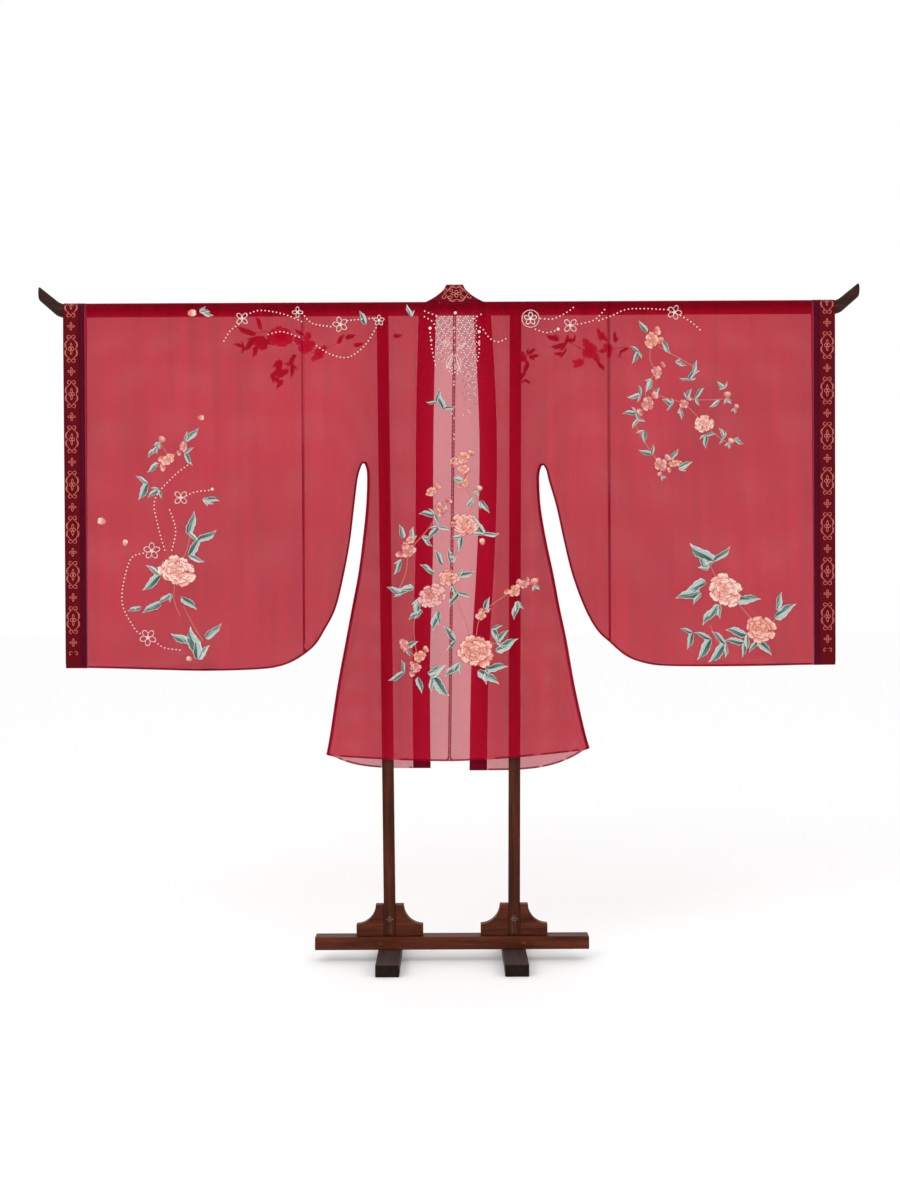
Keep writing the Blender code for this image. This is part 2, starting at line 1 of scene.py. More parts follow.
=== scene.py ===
"""Sheer crimson wide-sleeved robe hung over a wooden garment stand.

Metres, +Z up, X along the pole. The back of the robe faces -Y and the camera.
A point of the cloth is given on the flat cut: x along the pole and v down from
the top of the pole, positive on the back and negative on the fronts.
"""
import math
import random

import bmesh
import bpy
import numpy as np
from mathutils import Matrix, Vector
from mathutils.geometry import delaunay_2d_cdt


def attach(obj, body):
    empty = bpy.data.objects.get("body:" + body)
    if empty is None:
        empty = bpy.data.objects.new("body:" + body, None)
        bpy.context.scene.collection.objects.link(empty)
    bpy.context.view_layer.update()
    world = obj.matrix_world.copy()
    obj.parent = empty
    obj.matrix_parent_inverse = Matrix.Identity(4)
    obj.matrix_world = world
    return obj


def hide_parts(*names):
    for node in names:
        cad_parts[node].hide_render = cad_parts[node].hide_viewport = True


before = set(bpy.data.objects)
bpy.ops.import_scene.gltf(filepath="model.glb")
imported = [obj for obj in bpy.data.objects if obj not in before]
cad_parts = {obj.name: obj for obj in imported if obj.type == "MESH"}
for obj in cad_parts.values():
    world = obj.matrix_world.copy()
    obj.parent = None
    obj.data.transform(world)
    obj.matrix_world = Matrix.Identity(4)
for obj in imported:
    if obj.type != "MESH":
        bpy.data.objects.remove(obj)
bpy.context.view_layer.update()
RNG = random.Random(11)

SEAM_GAP = 0.0003
SIDES = ((-1, "left"), (1, "right"))

# The stand
FOOT_LENGTH = 0.400
FOOT_WIDTH = 0.062
FOOT_HEIGHT = 0.0315
STRETCHER_LENGTH = 0.736
STRETCHER_DEPTH = 0.054
STRETCHER_HEIGHT = 0.0345
POST_SIDE = 0.031
POST_BASE_X = 0.1673
POST_TOP_X = 0.1795
BRACKET_HEIGHT = 0.084
BRACKET_REACH = 0.074
BRACKET_TOP_REACH = 0.022
BRACKET_EDGE_HEIGHT = 0.031
BRACKET_THICKNESS = 0.028
BRACKET_STEPS = 20
BRACKET_ROUNDING = 0.0014
POLE_Z = 1.7555
POLE_HALF_HEIGHT = 0.0180
POLE_HALF_DEPTH = 0.0165
POLE_HALF_SPAN = 1.106
POLE_STRAIGHT = 1.035
POLE_BEND_RADIUS = 0.040
POLE_BEND_ANGLE = math.radians(40)
POLE_BEND_STEPS = 8
POLE_BEND_HALF_HEIGHT = 0.0202
POLE_TIP_HALF_HEIGHT = 0.0187
POLE_TIP_HALF_DEPTH = 0.0140
# the rounded tip: distance from the end, fall below the end, narrowing
POLE_TIP = [(0.004, 0.0034, 0.0), (0.001, 0.0009, 0.0007), (0.0, 0.0, 0.0028)]
POLE_SIDES = 48
WOOD_ROUNDING = 0.0022
SPECK_Z = 0.1117
SPECK_PITCH = 0.0042
SPECK_RISE = 0.0003

# The robe on the pole
TRIM_THICKNESS = 0.0010
BAND_THICKNESS = 0.0016
POLE_CLEARANCE = 0.0015
SHOULDER_Z = POLE_Z
TOP_GAP = POLE_HALF_DEPTH + POLE_CLEARANCE
ARC_RISE = POLE_HALF_HEIGHT + POLE_CLEARANCE
ARC_LENGTH = 0.5 * math.pi * 0.5 * (TOP_GAP + ARC_RISE)
ARC_STEPS = 10
CUFF_EDGE_X = 1.0376
BROCADE_WIDTH = 0.0430
CUFF_TRIM_WIDTH = 0.0130
TRIM_OUT = CUFF_EDGE_X - BROCADE_WIDTH - SEAM_GAP
TRIM_IN = TRIM_OUT - CUFF_TRIM_WIDTH
# the plum strip shows through the last of the sleeve, where it laps it
LAP_WIDTH = 0.008
LAP_TINT = (0.340, 0.055, 0.085)
SLEEVE_SEAM_X = {-1: -0.3955, 1: 0.4300}
CENTRE_TOP_X = 0.0155
CENTRE_HEM_X = -0.0045
BACK_HEM_Z = 0.5377
FRONT_HEM_Z = {-1: 0.5130, 1: 0.5060}
BACK_HEM_POWER = 1.6
FRONT_HEM_POWER = 3.4
EDGE_GAP = 0.0030
EDGE_BULGE = 0.0020
EDGE_ROUNDING = 0.030
SLEEVE_LOW_GAP = 0.0070
HEM_GAP = {"back": 0.0300, "front": 0.0340}
BODY_REACH = 0.20
SLEEVE_REACH = 0.33
SLEEVE_BOTTOM_Z = 0.787
FOLD_START = 0.16
SLIT_TOP_Z = 1.330
SLIT_LOW_Z = 0.889
SLIT_MIDDLE = {-1: (0.232, 0.310), 1: (0.248, 0.350)}
BODY_FREE_Z = 0.950

# How finely the cloth is divided, and how far its inner points keep from its edges
GRID_STEP = 0.0095
EDGE_STEP = 0.0095
EDGE_INSETS = (0.0075, 0.0115, 0.016, 0.021, 0.0265)
EDGE_CLEAR = 0.031
ARC_CLEAR = 0.0012
PANEL_CLEAR = 0.0062
INSET_CLEAR = 0.0048
HEM_CLEAR = 0.0015

# Widths of the turned and sewn edges
CENTRE_SEAM = 0.0040
SLEEVE_SEAM = 0.0024
SIDE_SEAM = 0.0056
CLOSED_HEM = 0.0030
BOTTOM_HEM = 0.0052

# left x, left z, right x, right z
LOWER_EDGE = [
    (-0.3352, 0.5536, 0.3723, 0.5675), (-0.3255, 0.6036, 0.3580, 0.6200), (-0.3038, 0.7416, 0.3325, 0.7380),
    (-0.2810, 0.8613, 0.3115, 0.8600), (-0.2638, 0.9514, 0.2932, 0.9490), (-0.2465, 1.0412, 0.2767, 1.0390),
    (-0.2342, 1.1313, 0.2581, 1.1290), (-0.2246, 1.2211, 0.2434, 1.2190), (-0.2213, 1.2937, 0.2395, 1.2915),
    (-0.2235, 1.3270, 0.2425, 1.3210), (-0.2325, 1.3435, 0.2510, 1.3360), (-0.2430, 1.3270, 0.2620, 1.3210),
    (-0.2514, 1.2937, 0.2691, 1.2915), (-0.2606, 1.2211, 0.2897, 1.2190), (-0.2718, 1.1313, 0.3089, 1.1290),
    (-0.2887, 1.0412, 0.3307, 1.0390), (-0.3115, 0.9500, 0.3634, 0.9490), (-0.3430, 0.8890, 0.3963, 0.8890),
    (-0.3705, 0.8480, 0.4304, 0.8557), (-0.4170, 0.8134, 0.4765, 0.8170), (-0.4633, 0.7948, 0.5304, 0.7975),
    (-0.5252, 0.7871, 0.5882, 0.7910), (-0.6564, 0.7839, 0.7000, 0.7895), (-0.7797, 0.7870, 0.8300, 0.7900),
    (-0.9500, 0.7925, 0.9500, 0.7920), (-1.0600, 0.7930, 1.0600, 0.7930),
]
# z, left x, right x
FRONT_EDGE = [
    (1.7555, -0.0825, 0.1135), (1.6000, -0.0880, 0.1230), (1.4000, -0.0923, 0.1293),
    (1.2000, -0.0940, 0.1260), (1.0400, -0.0963, 0.1185), (0.8000, -0.1045, 0.1045),
    (0.4800, -0.1040, 0.0975),
]
# share of the arc over the pole, distance from the centre back, lean to the
# centre, lean backwards, rise
NECK_EDGE = [
    (0.50, 0.000, 0.00, 0.12, 1.00),
    (0.42, 0.030, 0.20, 0.10, 0.97),
    (0.25, 0.055, 0.62, 0.05, 0.78),
    (0.00, 0.075, 0.86, 0.00, 0.51),
    (-0.50, 0.090, 0.97, 0.00, 0.25),
    (-1.00, 0.098, 1.00, 0.00, 0.00),
]
NECK_SUBSTEPS = 6
BAND_WIDTH = 0.048
BAND_STRIPS = 8

# in millimetres: x at the top, x at the bottom, half width, height, z of the
# middle, half length, first the broad folds and then the finer ridges and troughs
FOLDS = {
    "back": [
        (-880, -900, 50, 3.5, 1150, 420), (-640, -610, 45, 4.5, 1200, 400),
        (-470, -460, 35, 3.0, 1280, 340), (-80, -105, 30, 5.0, 980, 420), (75, 90, 32, 6.0, 920, 400),
        (250, 275, 22, 5.0, 860, 260), (540, 520, 45, 4.0, 1220, 400), (800, 830, 50, 4.0, 1120, 420),
        (-985, -960, 16, 1.2, 1380, 280), (-930, -955, 14, -1.0, 1050, 240),
        (-760, -735, 18, -1.4, 1000, 220), (-700, -730, 13, 1.0, 1450, 240),
        (-560, -540, 16, -1.3, 1020, 220), (-505, -525, 12, 1.0, 950, 160),
        (-345, -330, 16, 1.4, 1420, 260), (-270, -300, 12, 1.1, 1400, 200),
        (-215, -235, 13, 1.5, 1020, 300), (-135, -170, 14, 1.6, 720, 190), (-30, -45, 15, -1.4, 800, 300),
        (30, 35, 13, 1.4, 680, 170), (130, 155, 12, 1.3, 740, 220), (200, 245, 13, 1.4, 700, 180),
        (300, 330, 10, 1.0, 640, 100), (340, 320, 14, 1.2, 1440, 240), (395, 420, 15, -1.2, 1220, 260),
        (640, 665, 14, 1.1, 1360, 240), (710, 690, 17, -1.3, 1060, 240), (900, 925, 14, 1.2, 1300, 280),
        (965, 950, 12, -1.0, 1000, 200),
    ],
    "front": [
        (-820, -800, 50, 4.0, 1180, 400), (-560, -590, 45, 3.5, 1150, 380),
        (-230, -255, 26, 6.0, 840, 260), (-130, -140, 24, 4.5, 980, 400), (150, 145, 26, 5.5, 950, 420),
        (600, 640, 50, 4.0, 1200, 400), (900, 880, 45, 3.5, 1140, 400), (-960, -940, 15, 1.1, 1300, 280),
        (-735, -760, 14, -1.2, 1080, 240), (-660, -640, 13, 1.0, 1400, 240),
        (-480, -500, 14, 1.2, 1100, 220), (-330, -315, 14, 1.2, 1450, 260),
        (-190, -215, 12, 1.4, 700, 180), (-290, -312, 10, 1.2, 620, 100), (190, 215, 13, 1.5, 800, 260),
        (255, 290, 13, 1.5, 680, 160), (310, 345, 9, 1.0, 630, 90), (330, 345, 14, 1.2, 1420, 240),
        (500, 480, 15, -1.2, 1140, 240), (730, 750, 14, 1.1, 1340, 260), (820, 800, 15, -1.1, 1020, 220),
        (975, 990, 13, 1.0, 1200, 260),
    ],
}
# height, turns a metre along x, turns a metre along z, start
SLACK = [(0.00045, 1.9, 0.7, 0.3), (0.00035, 4.3, -0.9, 1.7), (0.00022, 7.7, 1.6, 4.1)]
FRONT_SLACK_TURN = 2.1


# Curves and the flat cut

def metres(rows):
    """A table in millimetres as an array in metres."""
    return np.array(rows, float) / 1000.0


def mix(low, high, share):
    return low + (high - low) * share


def ease(share):
    held = np.clip(share, 0.0, 1.0)
    return held * held * (3.0 - 2.0 * held)


def ways_of(vectors):
    """The same vectors with a length of one."""
    return vectors / np.linalg.norm(vectors, axis=1)[:, None]


def through(rows, substeps):
    """Points on a smooth curve through the rows, each row kept."""
    rows = np.array(rows, float)
    curve = []
    last = len(rows) - 1
    for index in range(last):
        a, b, c, d = (rows[min(max(index + step, 0), last)] for step in (-1, 0, 1, 2))
        for step in range(substeps):
            t = step / substeps
            curve.append(0.5 * (2 * b + (c - a) * t + (2 * a - 5 * b + 4 * c - d) * t ** 2
                                + (3 * b - a - 3 * c + d) * t ** 3))
    curve.append(rows[last])
    return np.array(curve)


def respace(line, step):
    """The same line with points about one step apart."""
    lengths = np.hypot(*np.diff(line, axis=0).T[:2])
    along = np.concatenate([[0.0], np.cumsum(lengths)])
    places = np.linspace(0.0, along[-1], max(1, round(along[-1] / step)) + 1)
    return np.column_stack([np.interp(places, along, line[:, axis]) for axis in range(line.shape[1])])


def lower_edge(side):
    first = 0 if side < 0 else 2
    return respace(through([row[first:first + 2] for row in LOWER_EDGE], 10), EDGE_STEP)


EDGES = {side: lower_edge(side) for side, _ in SIDES}


def distance_to_line(x, z, line):
    start = line[:-1]
    run = line[1:] - start
    squared = (run ** 2).sum(axis=1)
    nearest = np.empty(len(x))
    for first in range(0, len(x), 4000):
        chosen = slice(first, first + 4000)
        off_x = x[chosen, None] - start[None, :, 0]
        off_z = z[chosen, None] - start[None, :, 1]
        share = np.clip((off_x * run[:, 0] + off_z * run[:, 1]) / squared, 0.0, 1.0)
        nearest[chosen] = np.hypot(off_x - share * run[:, 0], off_z - share * run[:, 1]).min(axis=1)
    return nearest


def distance_to_edge(x, z):
    nearest = np.ones(len(x))
    for side, chosen in ((-1, x < 0), (1, x >= 0)):
        if chosen.any():
            nearest[chosen] = distance_to_line(x[chosen], z[chosen], EDGES[side])
    return nearest


def between(curve, side, x_in, x_out):
    """The stretch of a sleeve's underside between two distances from the centre."""
    picked = []
    for here, there in zip(curve, curve[1:]):
        for limit in (x_in, x_out):
            if limit is not None and (here[0] - limit) * (there[0] - limit) < 0:
                share = (limit - here[0]) / (there[0] - here[0])
                picked.append((limit, mix(here[1], there[1], share)))
        inside_low = x_in is None or side * there[0] > side * x_in
        inside_high = x_out is None or side * there[0] < side * x_out
        if inside_low and inside_high:
            picked.append((there[0], there[1]))
    return picked


def fold_height(layer, x, z):
    height = np.zeros(len(x))
    for top_x, low_x, width, rise, middle, reach in metres(FOLDS[layer]):
        along = np.clip((middle - z) / reach, -1.0, 1.0)
        across = (x - mix(top_x, low_x, 0.5 + 0.5 * along)) / width
        height += rise * np.exp(-across * across) * (1.0 - along * along) ** 2
    turn = 0.0 if layer == "back" else FRONT_SLACK_TURN
    for rise, along_x, along_z, start in SLACK:
        height += rise * np.sin(2 * math.pi * (along_x * x + along_z * z) + start + turn)
    return height


def sleeve_share(x, z):
    """1 where the cloth hangs as a sleeve, 0 where it hangs as the body."""
    share = ease((np.abs(x) - BODY_REACH) / (SLEEVE_REACH - BODY_REACH))
    down = (SLIT_TOP_Z - z) / (SLIT_TOP_Z - SLIT_LOW_Z)
    middle = np.where(x < 0, mix(*SLIT_MIDDLE[-1], down), mix(*SLIT_MIDDLE[1], down))
    on_body = (z < SLIT_TOP_Z) & ((np.abs(x) < middle) | (z < SLEEVE_BOTTOM_Z))
    return np.where(on_body, share * ease((z - BODY_FREE_Z) / (SLIT_TOP_Z - BODY_FREE_Z)), share)


def half_gap(layer, x, z):
    """How far the cloth stands from the plane of the pole."""
    drop = np.maximum(0.0, SHOULDER_Z - z)
    sleeve = mix(TOP_GAP, SLEEVE_LOW_GAP, np.minimum(1.0, drop / (SHOULDER_Z - SLEEVE_BOTTOM_Z)))
    body = mix(TOP_GAP, HEM_GAP[layer], drop / (SHOULDER_Z - BACK_HEM_Z))
    start = ease(drop / FOLD_START)
    open_gap = mix(body, sleeve, sleeve_share(x, z) * start) + fold_height(layer, x, z) * start
    near = 1.0 - np.minimum(1.0, distance_to_edge(x, z) / EDGE_ROUNDING)
    return EDGE_GAP + (open_gap - EDGE_GAP) * np.sqrt(1.0 - near * near)


def pattern_v(z):
    return ARC_LENGTH + SHOULDER_Z - z


def pattern_z(v):
    return SHOULDER_Z - np.maximum(0.0, np.abs(v) - ARC_LENGTH)


def lift(flat):
    """Fold points of the flat cut over the pole."""
    x, v = np.asarray(flat, float).T
    z = pattern_z(v)
    back = v > 0
    gap = np.empty(len(x))
    for layer, chosen in (("back", back), ("front", ~back)):
        if chosen.any():
            gap[chosen] = half_gap(layer, x[chosen], z[chosen])
    side = np.where(back, -1.0, 1.0)
    angle = 0.5 * math.pi * np.abs(v) / ARC_LENGTH
    over = np.abs(v) <= ARC_LENGTH
    y = np.where(over, side * TOP_GAP * np.sin(angle), side * gap)
    z = np.where(over, SHOULDER_Z + ARC_RISE * np.cos(angle), z)
    return np.column_stack([x, y, z])


def lift_off(flat, height):
    """Points over the cloth, that far out from it."""
    flat = np.asarray(flat, float)
    small = 0.0006
    across = lift(flat + [small, 0.0]) - lift(flat - [small, 0.0])
    down = lift(flat + [0.0, small]) - lift(flat - [0.0, small])
    return lift(flat) + ways_of(np.cross(down, across)) * np.reshape(height, (-1, 1))


def pattern_rows():
    rows = [ARC_LENGTH * step / ARC_STEPS for step in range(ARC_STEPS + 1)]
    count = math.ceil((SHOULDER_Z - min(FRONT_HEM_Z.values())) / GRID_STEP)
    rows += [ARC_LENGTH + GRID_STEP * (step + 1) for step in range(count)]
    return sorted({round(sign * row, 6) for row in rows for sign in (-1, 1)})


ROWS = pattern_rows()


def upright(x_at, v_from, v_to):
    """Points down a line across the rows of the cut, from one v to another."""
    low = min(v_from, v_to)
    high = max(v_from, v_to)
    clear = 0.25 * ARC_LENGTH / ARC_STEPS
    values = [low] + [row for row in ROWS if low + clear < row < high - clear] + [high]
    if v_from > v_to:
        values.reverse()
    return [(x_at(v), v) for v in values]


def centre_x(v):
    drop = max(0.0, v - ARC_LENGTH)
    return mix(CENTRE_TOP_X, CENTRE_HEM_X, drop / (SHOULDER_Z - BACK_HEM_Z))


FRONT_CURVE = through(FRONT_EDGE, 8)


def front_edge_x(side, z):
    column = 1 if side < 0 else 2
    return float(np.interp(-z, -FRONT_CURVE[:, 0], FRONT_CURVE[:, column]))


def hem_z(layer, side, x):
    corner_x, corner_z = EDGES[side][0]
    if layer == "back":
        middle_x, middle_z, power = CENTRE_HEM_X, BACK_HEM_Z, BACK_HEM_POWER
    else:
        middle_z = FRONT_HEM_Z[side]
        middle_x, power = front_edge_x(side, middle_z), FRONT_HEM_POWER
    share = min(1.0, max(0.0, (x - middle_x) / (corner_x - middle_x)))
    return mix(middle_z, corner_z, share ** power)


def hem_points(layer, side, x_from, x_to):
    count = max(2, round(abs(x_to - x_from) / GRID_STEP))
    sign = 1.0 if layer == "back" else -1.0
    xs = [mix(x_from, x_to, step / count) for step in range(1, count)]
    return [(x, sign * pattern_v(hem_z(layer, side, x))) for x in xs]


def inside(points, outline, margin):
    """True for the points that lie in the outline and clear of its edge."""
    line = np.vstack([outline, outline[:1]])
    kept = distance_to_line(points[:, 0], points[:, 1], line) >= margin
    crossings = np.zeros(len(points), bool)
    for (ax, av), (bx, bv) in zip(line[:-1], line[1:]):
        if av == bv:
            continue
        spans = (av > points[:, 1]) != (bv > points[:, 1])
        crossings ^= spans & (points[:, 0] < ax + (points[:, 1] - av) / (bv - av) * (bx - ax))
    return kept & crossings


# Meshes

def build(name, verts, faces, materials, uv=None, slots=None):
    mesh = bpy.data.meshes.new(name)
    mesh.from_pydata([tuple(map(float, v)) for v in verts], [], [tuple(map(int, f)) for f in faces])
    for surface in materials:
        mesh.materials.append(surface)
    if slots is not None:
        mesh.polygons.foreach_set("material_index", np.asarray(slots, np.int32))
    if uv is not None:
        layer = mesh.uv_layers.new(name="pattern")
        loops = np.empty(len(mesh.loops), np.int32)
        mesh.loops.foreach_get("vertex_index", loops)
        layer.data.foreach_set("uv", np.asarray(uv, float)[loops].ravel())
    mesh.shade_smooth()
    mesh.update()
    return in_scene(name, mesh)


def in_scene(name, data):
    made = bpy.data.objects.new(name, data)
    bpy.context.scene.collection.objects.link(made)
    return made


def grid_faces(rows, columns):
    return [(r * columns + c, (r + 1) * columns + c, (r + 1) * columns + c + 1, r * columns + c + 1)
            for r in range(rows - 1) for c in range(columns - 1)]


def inner_points(outline, closed, outwards):
    """Points inside the outline: an even grid, and rows that follow the closed edge."""
    xs = np.arange(outline[:, 0].min(), outline[:, 0].max(), GRID_STEP)
    grid = np.vstack([np.column_stack([xs + 0.5 * GRID_STEP * (index % 2), np.full(len(xs), row)])
                      for index, row in enumerate(ROWS)])
    over = np.abs(grid[:, 1]) <= ARC_LENGTH + 1e-5
    clear = distance_to_edge(grid[:, 0], pattern_z(grid[:, 1])) > EDGE_CLEAR
    groups = [(grid[over], ARC_CLEAR), (grid[~over & clear], PANEL_CLEAR)]
    for inset in EDGE_INSETS:
        x, z = (closed - outwards * inset).T
        groups += [(np.column_stack([x, sign * pattern_v(z)]), INSET_CLEAR) for sign in (1.0, -1.0)]
    return [points[inside(points, outline, margin)] for points, margin in groups]


def turned_edge(outline, widths, inward_sign):
    """The inner line of each sewn edge."""
    turn = ways_of(np.roll(outline, -1, axis=0) - np.roll(outline, 1, axis=0))
    inward = np.column_stack([-turn[:, 1], turn[:, 0]]) * inward_sign
    hem = (outline + inward * widths[:, None])[widths > 0]
    return hem[inside(hem, outline, HEM_CLEAR)]


def face_outwards(piece):
    mesh = bmesh.new()
    mesh.from_mesh(piece.data)
    bmesh.ops.recalc_face_normals(mesh, faces=mesh.faces)
    mesh.to_mesh(piece.data)
    mesh.free()


def cloth(name, side, parts, closed, materials):
    """Cut a piece, fold it over the pole and close it along its lower edge.

    parts is the outline as stretches of (points, width of the sewn edge). The
    flat size and area of the cut come back with the piece.
    """
    outline = np.array([point for points, _ in parts for point in points])
    widths = np.array([width for points, width in parts for _ in points])
    closed = np.array(closed)
    run = ways_of(np.gradient(closed, axis=0))
    outwards = np.column_stack([side * run[:, 1], -side * run[:, 0]])
    x, v = outline.T
    area = 0.5 * np.sum(x * np.roll(v, -1) - np.roll(x, -1) * v)
    hem = turned_edge(outline, widths, np.sign(area))
    flat = np.vstack([outline, hem] + inner_points(outline, closed, outwards))
    sewn = np.arange(len(flat)) < len(outline) + len(hem)
    sewn[:len(outline)] = widths > 0

    ring = list(range(len(outline)))
    found = delaunay_2d_cdt([Vector(point) for point in flat], [], [ring], 1, 1e-7)
    cut = np.array([tuple(point) for point in found[0]])
    faces = [tuple(face) for face in found[2]]
    on_hem = [any(sewn[source] for source in sources) for sources in found[3]]
    at = {source: index for index, sources in enumerate(found[3]) for source in sources}
    slots = [int(all(on_hem[corner] for corner in face)) for face in faces]
    verts = list(lift(cut))
    uv = list(cut)

    place_of = {(round(x, 6), round(v, 6)): index for index, (x, v) in enumerate(outline)}
    rails = []
    for (x, z), outward in zip(closed, outwards):
        v = float(pattern_v(z))
        start, end = (at[place_of[(round(x, 6), round(sign * v, 6))]] for sign in (1, -1))
        for turned in (0.25, 0.5, 0.75):
            out = EDGE_BULGE * math.sin(math.pi * turned)
            verts.append((x + outward[0] * out, -EDGE_GAP * math.cos(math.pi * turned), z + outward[1] * out))
            uv.append((x, v + 0.003 * turned))
        rails.append([start, *range(len(verts) - 3, len(verts)), end])
    for here, there in zip(rails, rails[1:]):
        faces += [(here[step], there[step], there[step + 1], here[step + 1]) for step in range(4)]
        slots += [1] * 4
    piece = build(name, verts, faces, materials, uv=uv, slots=slots)
    face_outwards(piece)
    size = outline.max(axis=0) - outline.min(axis=0)
    return piece, (float(size[0]), float(size[1])), float(abs(area))


def mirrored(points, sign):
    """Points of the closed edge on the flat cut, on the back or the front."""
    return [(x, sign * pattern_v(z)) for x, z in points]


def body_half(name, side, materials):
    shift = side * 0.5 * SEAM_GAP
    seam_x = SLEEVE_SEAM_X[side] - shift
    closed = [tuple(EDGES[side][0])] + between(EDGES[side], side, None, seam_x)
    corner_x = closed[0][0]
    end_v = pattern_v(closed[-1][1])
    top = max(range(len(closed)), key=lambda index: closed[index][1])
    side_seam = closed[:top]
    underarm = closed[top:]
    back = upright(lambda v: centre_x(v) + shift, pattern_v(BACK_HEM_Z), NECK_EDGE[0][0] * ARC_LENGTH)
    rows = through(NECK_EDGE, NECK_SUBSTEPS)[1:-1]
    neck = [(CENTRE_TOP_X + side * row[1], row[0] * ARC_LENGTH) for row in rows]
    front = upright(lambda v: front_edge_x(side, float(pattern_z(v))), -ARC_LENGTH,
                    -pattern_v(FRONT_HEM_Z[side]))
    parts = [
        (back, CENTRE_SEAM), (neck, 0.0), (front[:-1], 0.0), (front[-1:], BOTTOM_HEM),
        (hem_points("front", side, front[-1][0], corner_x), BOTTOM_HEM),
        (mirrored(side_seam, -1), SIDE_SEAM), (mirrored(underarm, -1), CLOSED_HEM),
        (upright(lambda v: seam_x, -end_v, end_v)[1:-1], SLEEVE_SEAM),
        (mirrored(underarm[::-1], 1), CLOSED_HEM), (mirrored(side_seam[::-1], 1), SIDE_SEAM),
        (hem_points("back", side, corner_x, back[0][0]), BOTTOM_HEM),
    ]
    return cloth(name, side, parts, closed, materials)


def sleeve_ring(name, side, x_in, x_out, seams, hem, materials):
    start = side * x_in
    end = side * x_out
    closed = between(EDGES[side], side, start, end)
    low_start = pattern_v(closed[0][1])
    low_end = pattern_v(closed[-1][1])
    parts = [
        (upright(lambda v: start, low_start, -low_start), seams),
        (mirrored(closed[1:], -1), hem),
        (upright(lambda v: end, -low_end, low_end)[1:], 0.0),
        (mirrored(closed[-2:0:-1], 1), hem),
    ]
    return cloth(name, side, parts, closed, materials)


def neck_stations(side):
    """The band's crosswise points round the neck, each leaning by the table."""
    rows = through(NECK_EDGE, NECK_SUBSTEPS)
    edge = lift([(CENTRE_TOP_X + side * row[1], row[0] * ARC_LENGTH) for row in rows])
    stations = []
    for index, row in enumerate(rows):
        here = Vector(edge[index])
        along = (Vector(edge[max(index - 1, 0)]) - Vector(edge[min(index + 1, len(edge) - 1)])).normalized()
        if index == 0:
            along = Vector((-side, 0.0, 0.0))
        outward = Vector((0.0, here.y / TOP_GAP ** 2, (here.z - SHOULDER_Z) / ARC_RISE ** 2)).normalized()
        beyond = (along.cross(outward) * side).normalized()
        lean = Vector((-side * row[2], -row[3], row[4])).normalized()
        spread = max(0.0, 1.0 - max(0.0, beyond.dot(lean)) ** 2) ** 0.5
        start = here + beyond * (SEAM_GAP + 0.25 * BAND_THICKNESS * spread)
        stations.append([tuple(start + lean * BAND_WIDTH * strip / BAND_STRIPS)
                         for strip in range(BAND_STRIPS + 1)])
    return stations[::-1]


def front_stations(side):
    stations = []
    rows = upright(lambda v: 0.0, -pattern_v(FRONT_HEM_Z[side]), -ARC_LENGTH)
    for _, v in rows[:-1]:
        outer = front_edge_x(side, float(pattern_z(v))) - side * SEAM_GAP
        flat = [(outer - side * BAND_WIDTH * strip / BAND_STRIPS, v) for strip in range(BAND_STRIPS + 1)]
        stations.append([tuple(point) for point in lift(flat)])
    return stations


def band_stations():
    """The crosswise points of the whole band, and the number of those at the centre back."""
    left, right = (front_stations(side) + neck_stations(side) for side in (-1, 1))
    return np.array(left + right[-2::-1]), len(left) - 1


def strip_mesh(name, stations, materials):
    rows, columns = stations.shape[:2]
    lengths = np.linalg.norm(np.diff(stations[:, columns // 2], axis=0), axis=1)
    along = np.concatenate([[0.0], np.cumsum(lengths)])
    uv = [(mix(0.0, BAND_WIDTH, column / (columns - 1)), along[row])
          for row in range(rows) for column in range(columns)]
    return build(name, stations.reshape(-1, 3), grid_faces(rows, columns), materials, uv=uv), along


# Materials

class Value:
    """The output of a node, with plain signs for the maths on it."""

    def __init__(self, paint, socket):
        self.paint = paint
        self.socket = socket

    def __add__(self, other):
        return self.paint.math("ADD", self, other)

    def __sub__(self, other):
        return self.paint.math("SUBTRACT", self, other)

    def __rsub__(self, other):
        return self.paint.math("SUBTRACT", other, self)

    def __mul__(self, other):
        return self.paint.math("MULTIPLY", self, other)

    def sine(self):
        return self.paint.math("SINE", self)

    def size(self):
        return self.paint.math("ABSOLUTE", self)

    def lesser(self, other):
        return self.paint.math("MINIMUM", self, other)

    def remap(self, from_low, from_high, to_low=0.0, to_high=1.0):
        return self.paint.node("ShaderNodeMapRange", i0=self, i1=from_low, i2=from_high, i3=to_low,
                               i4=to_high)


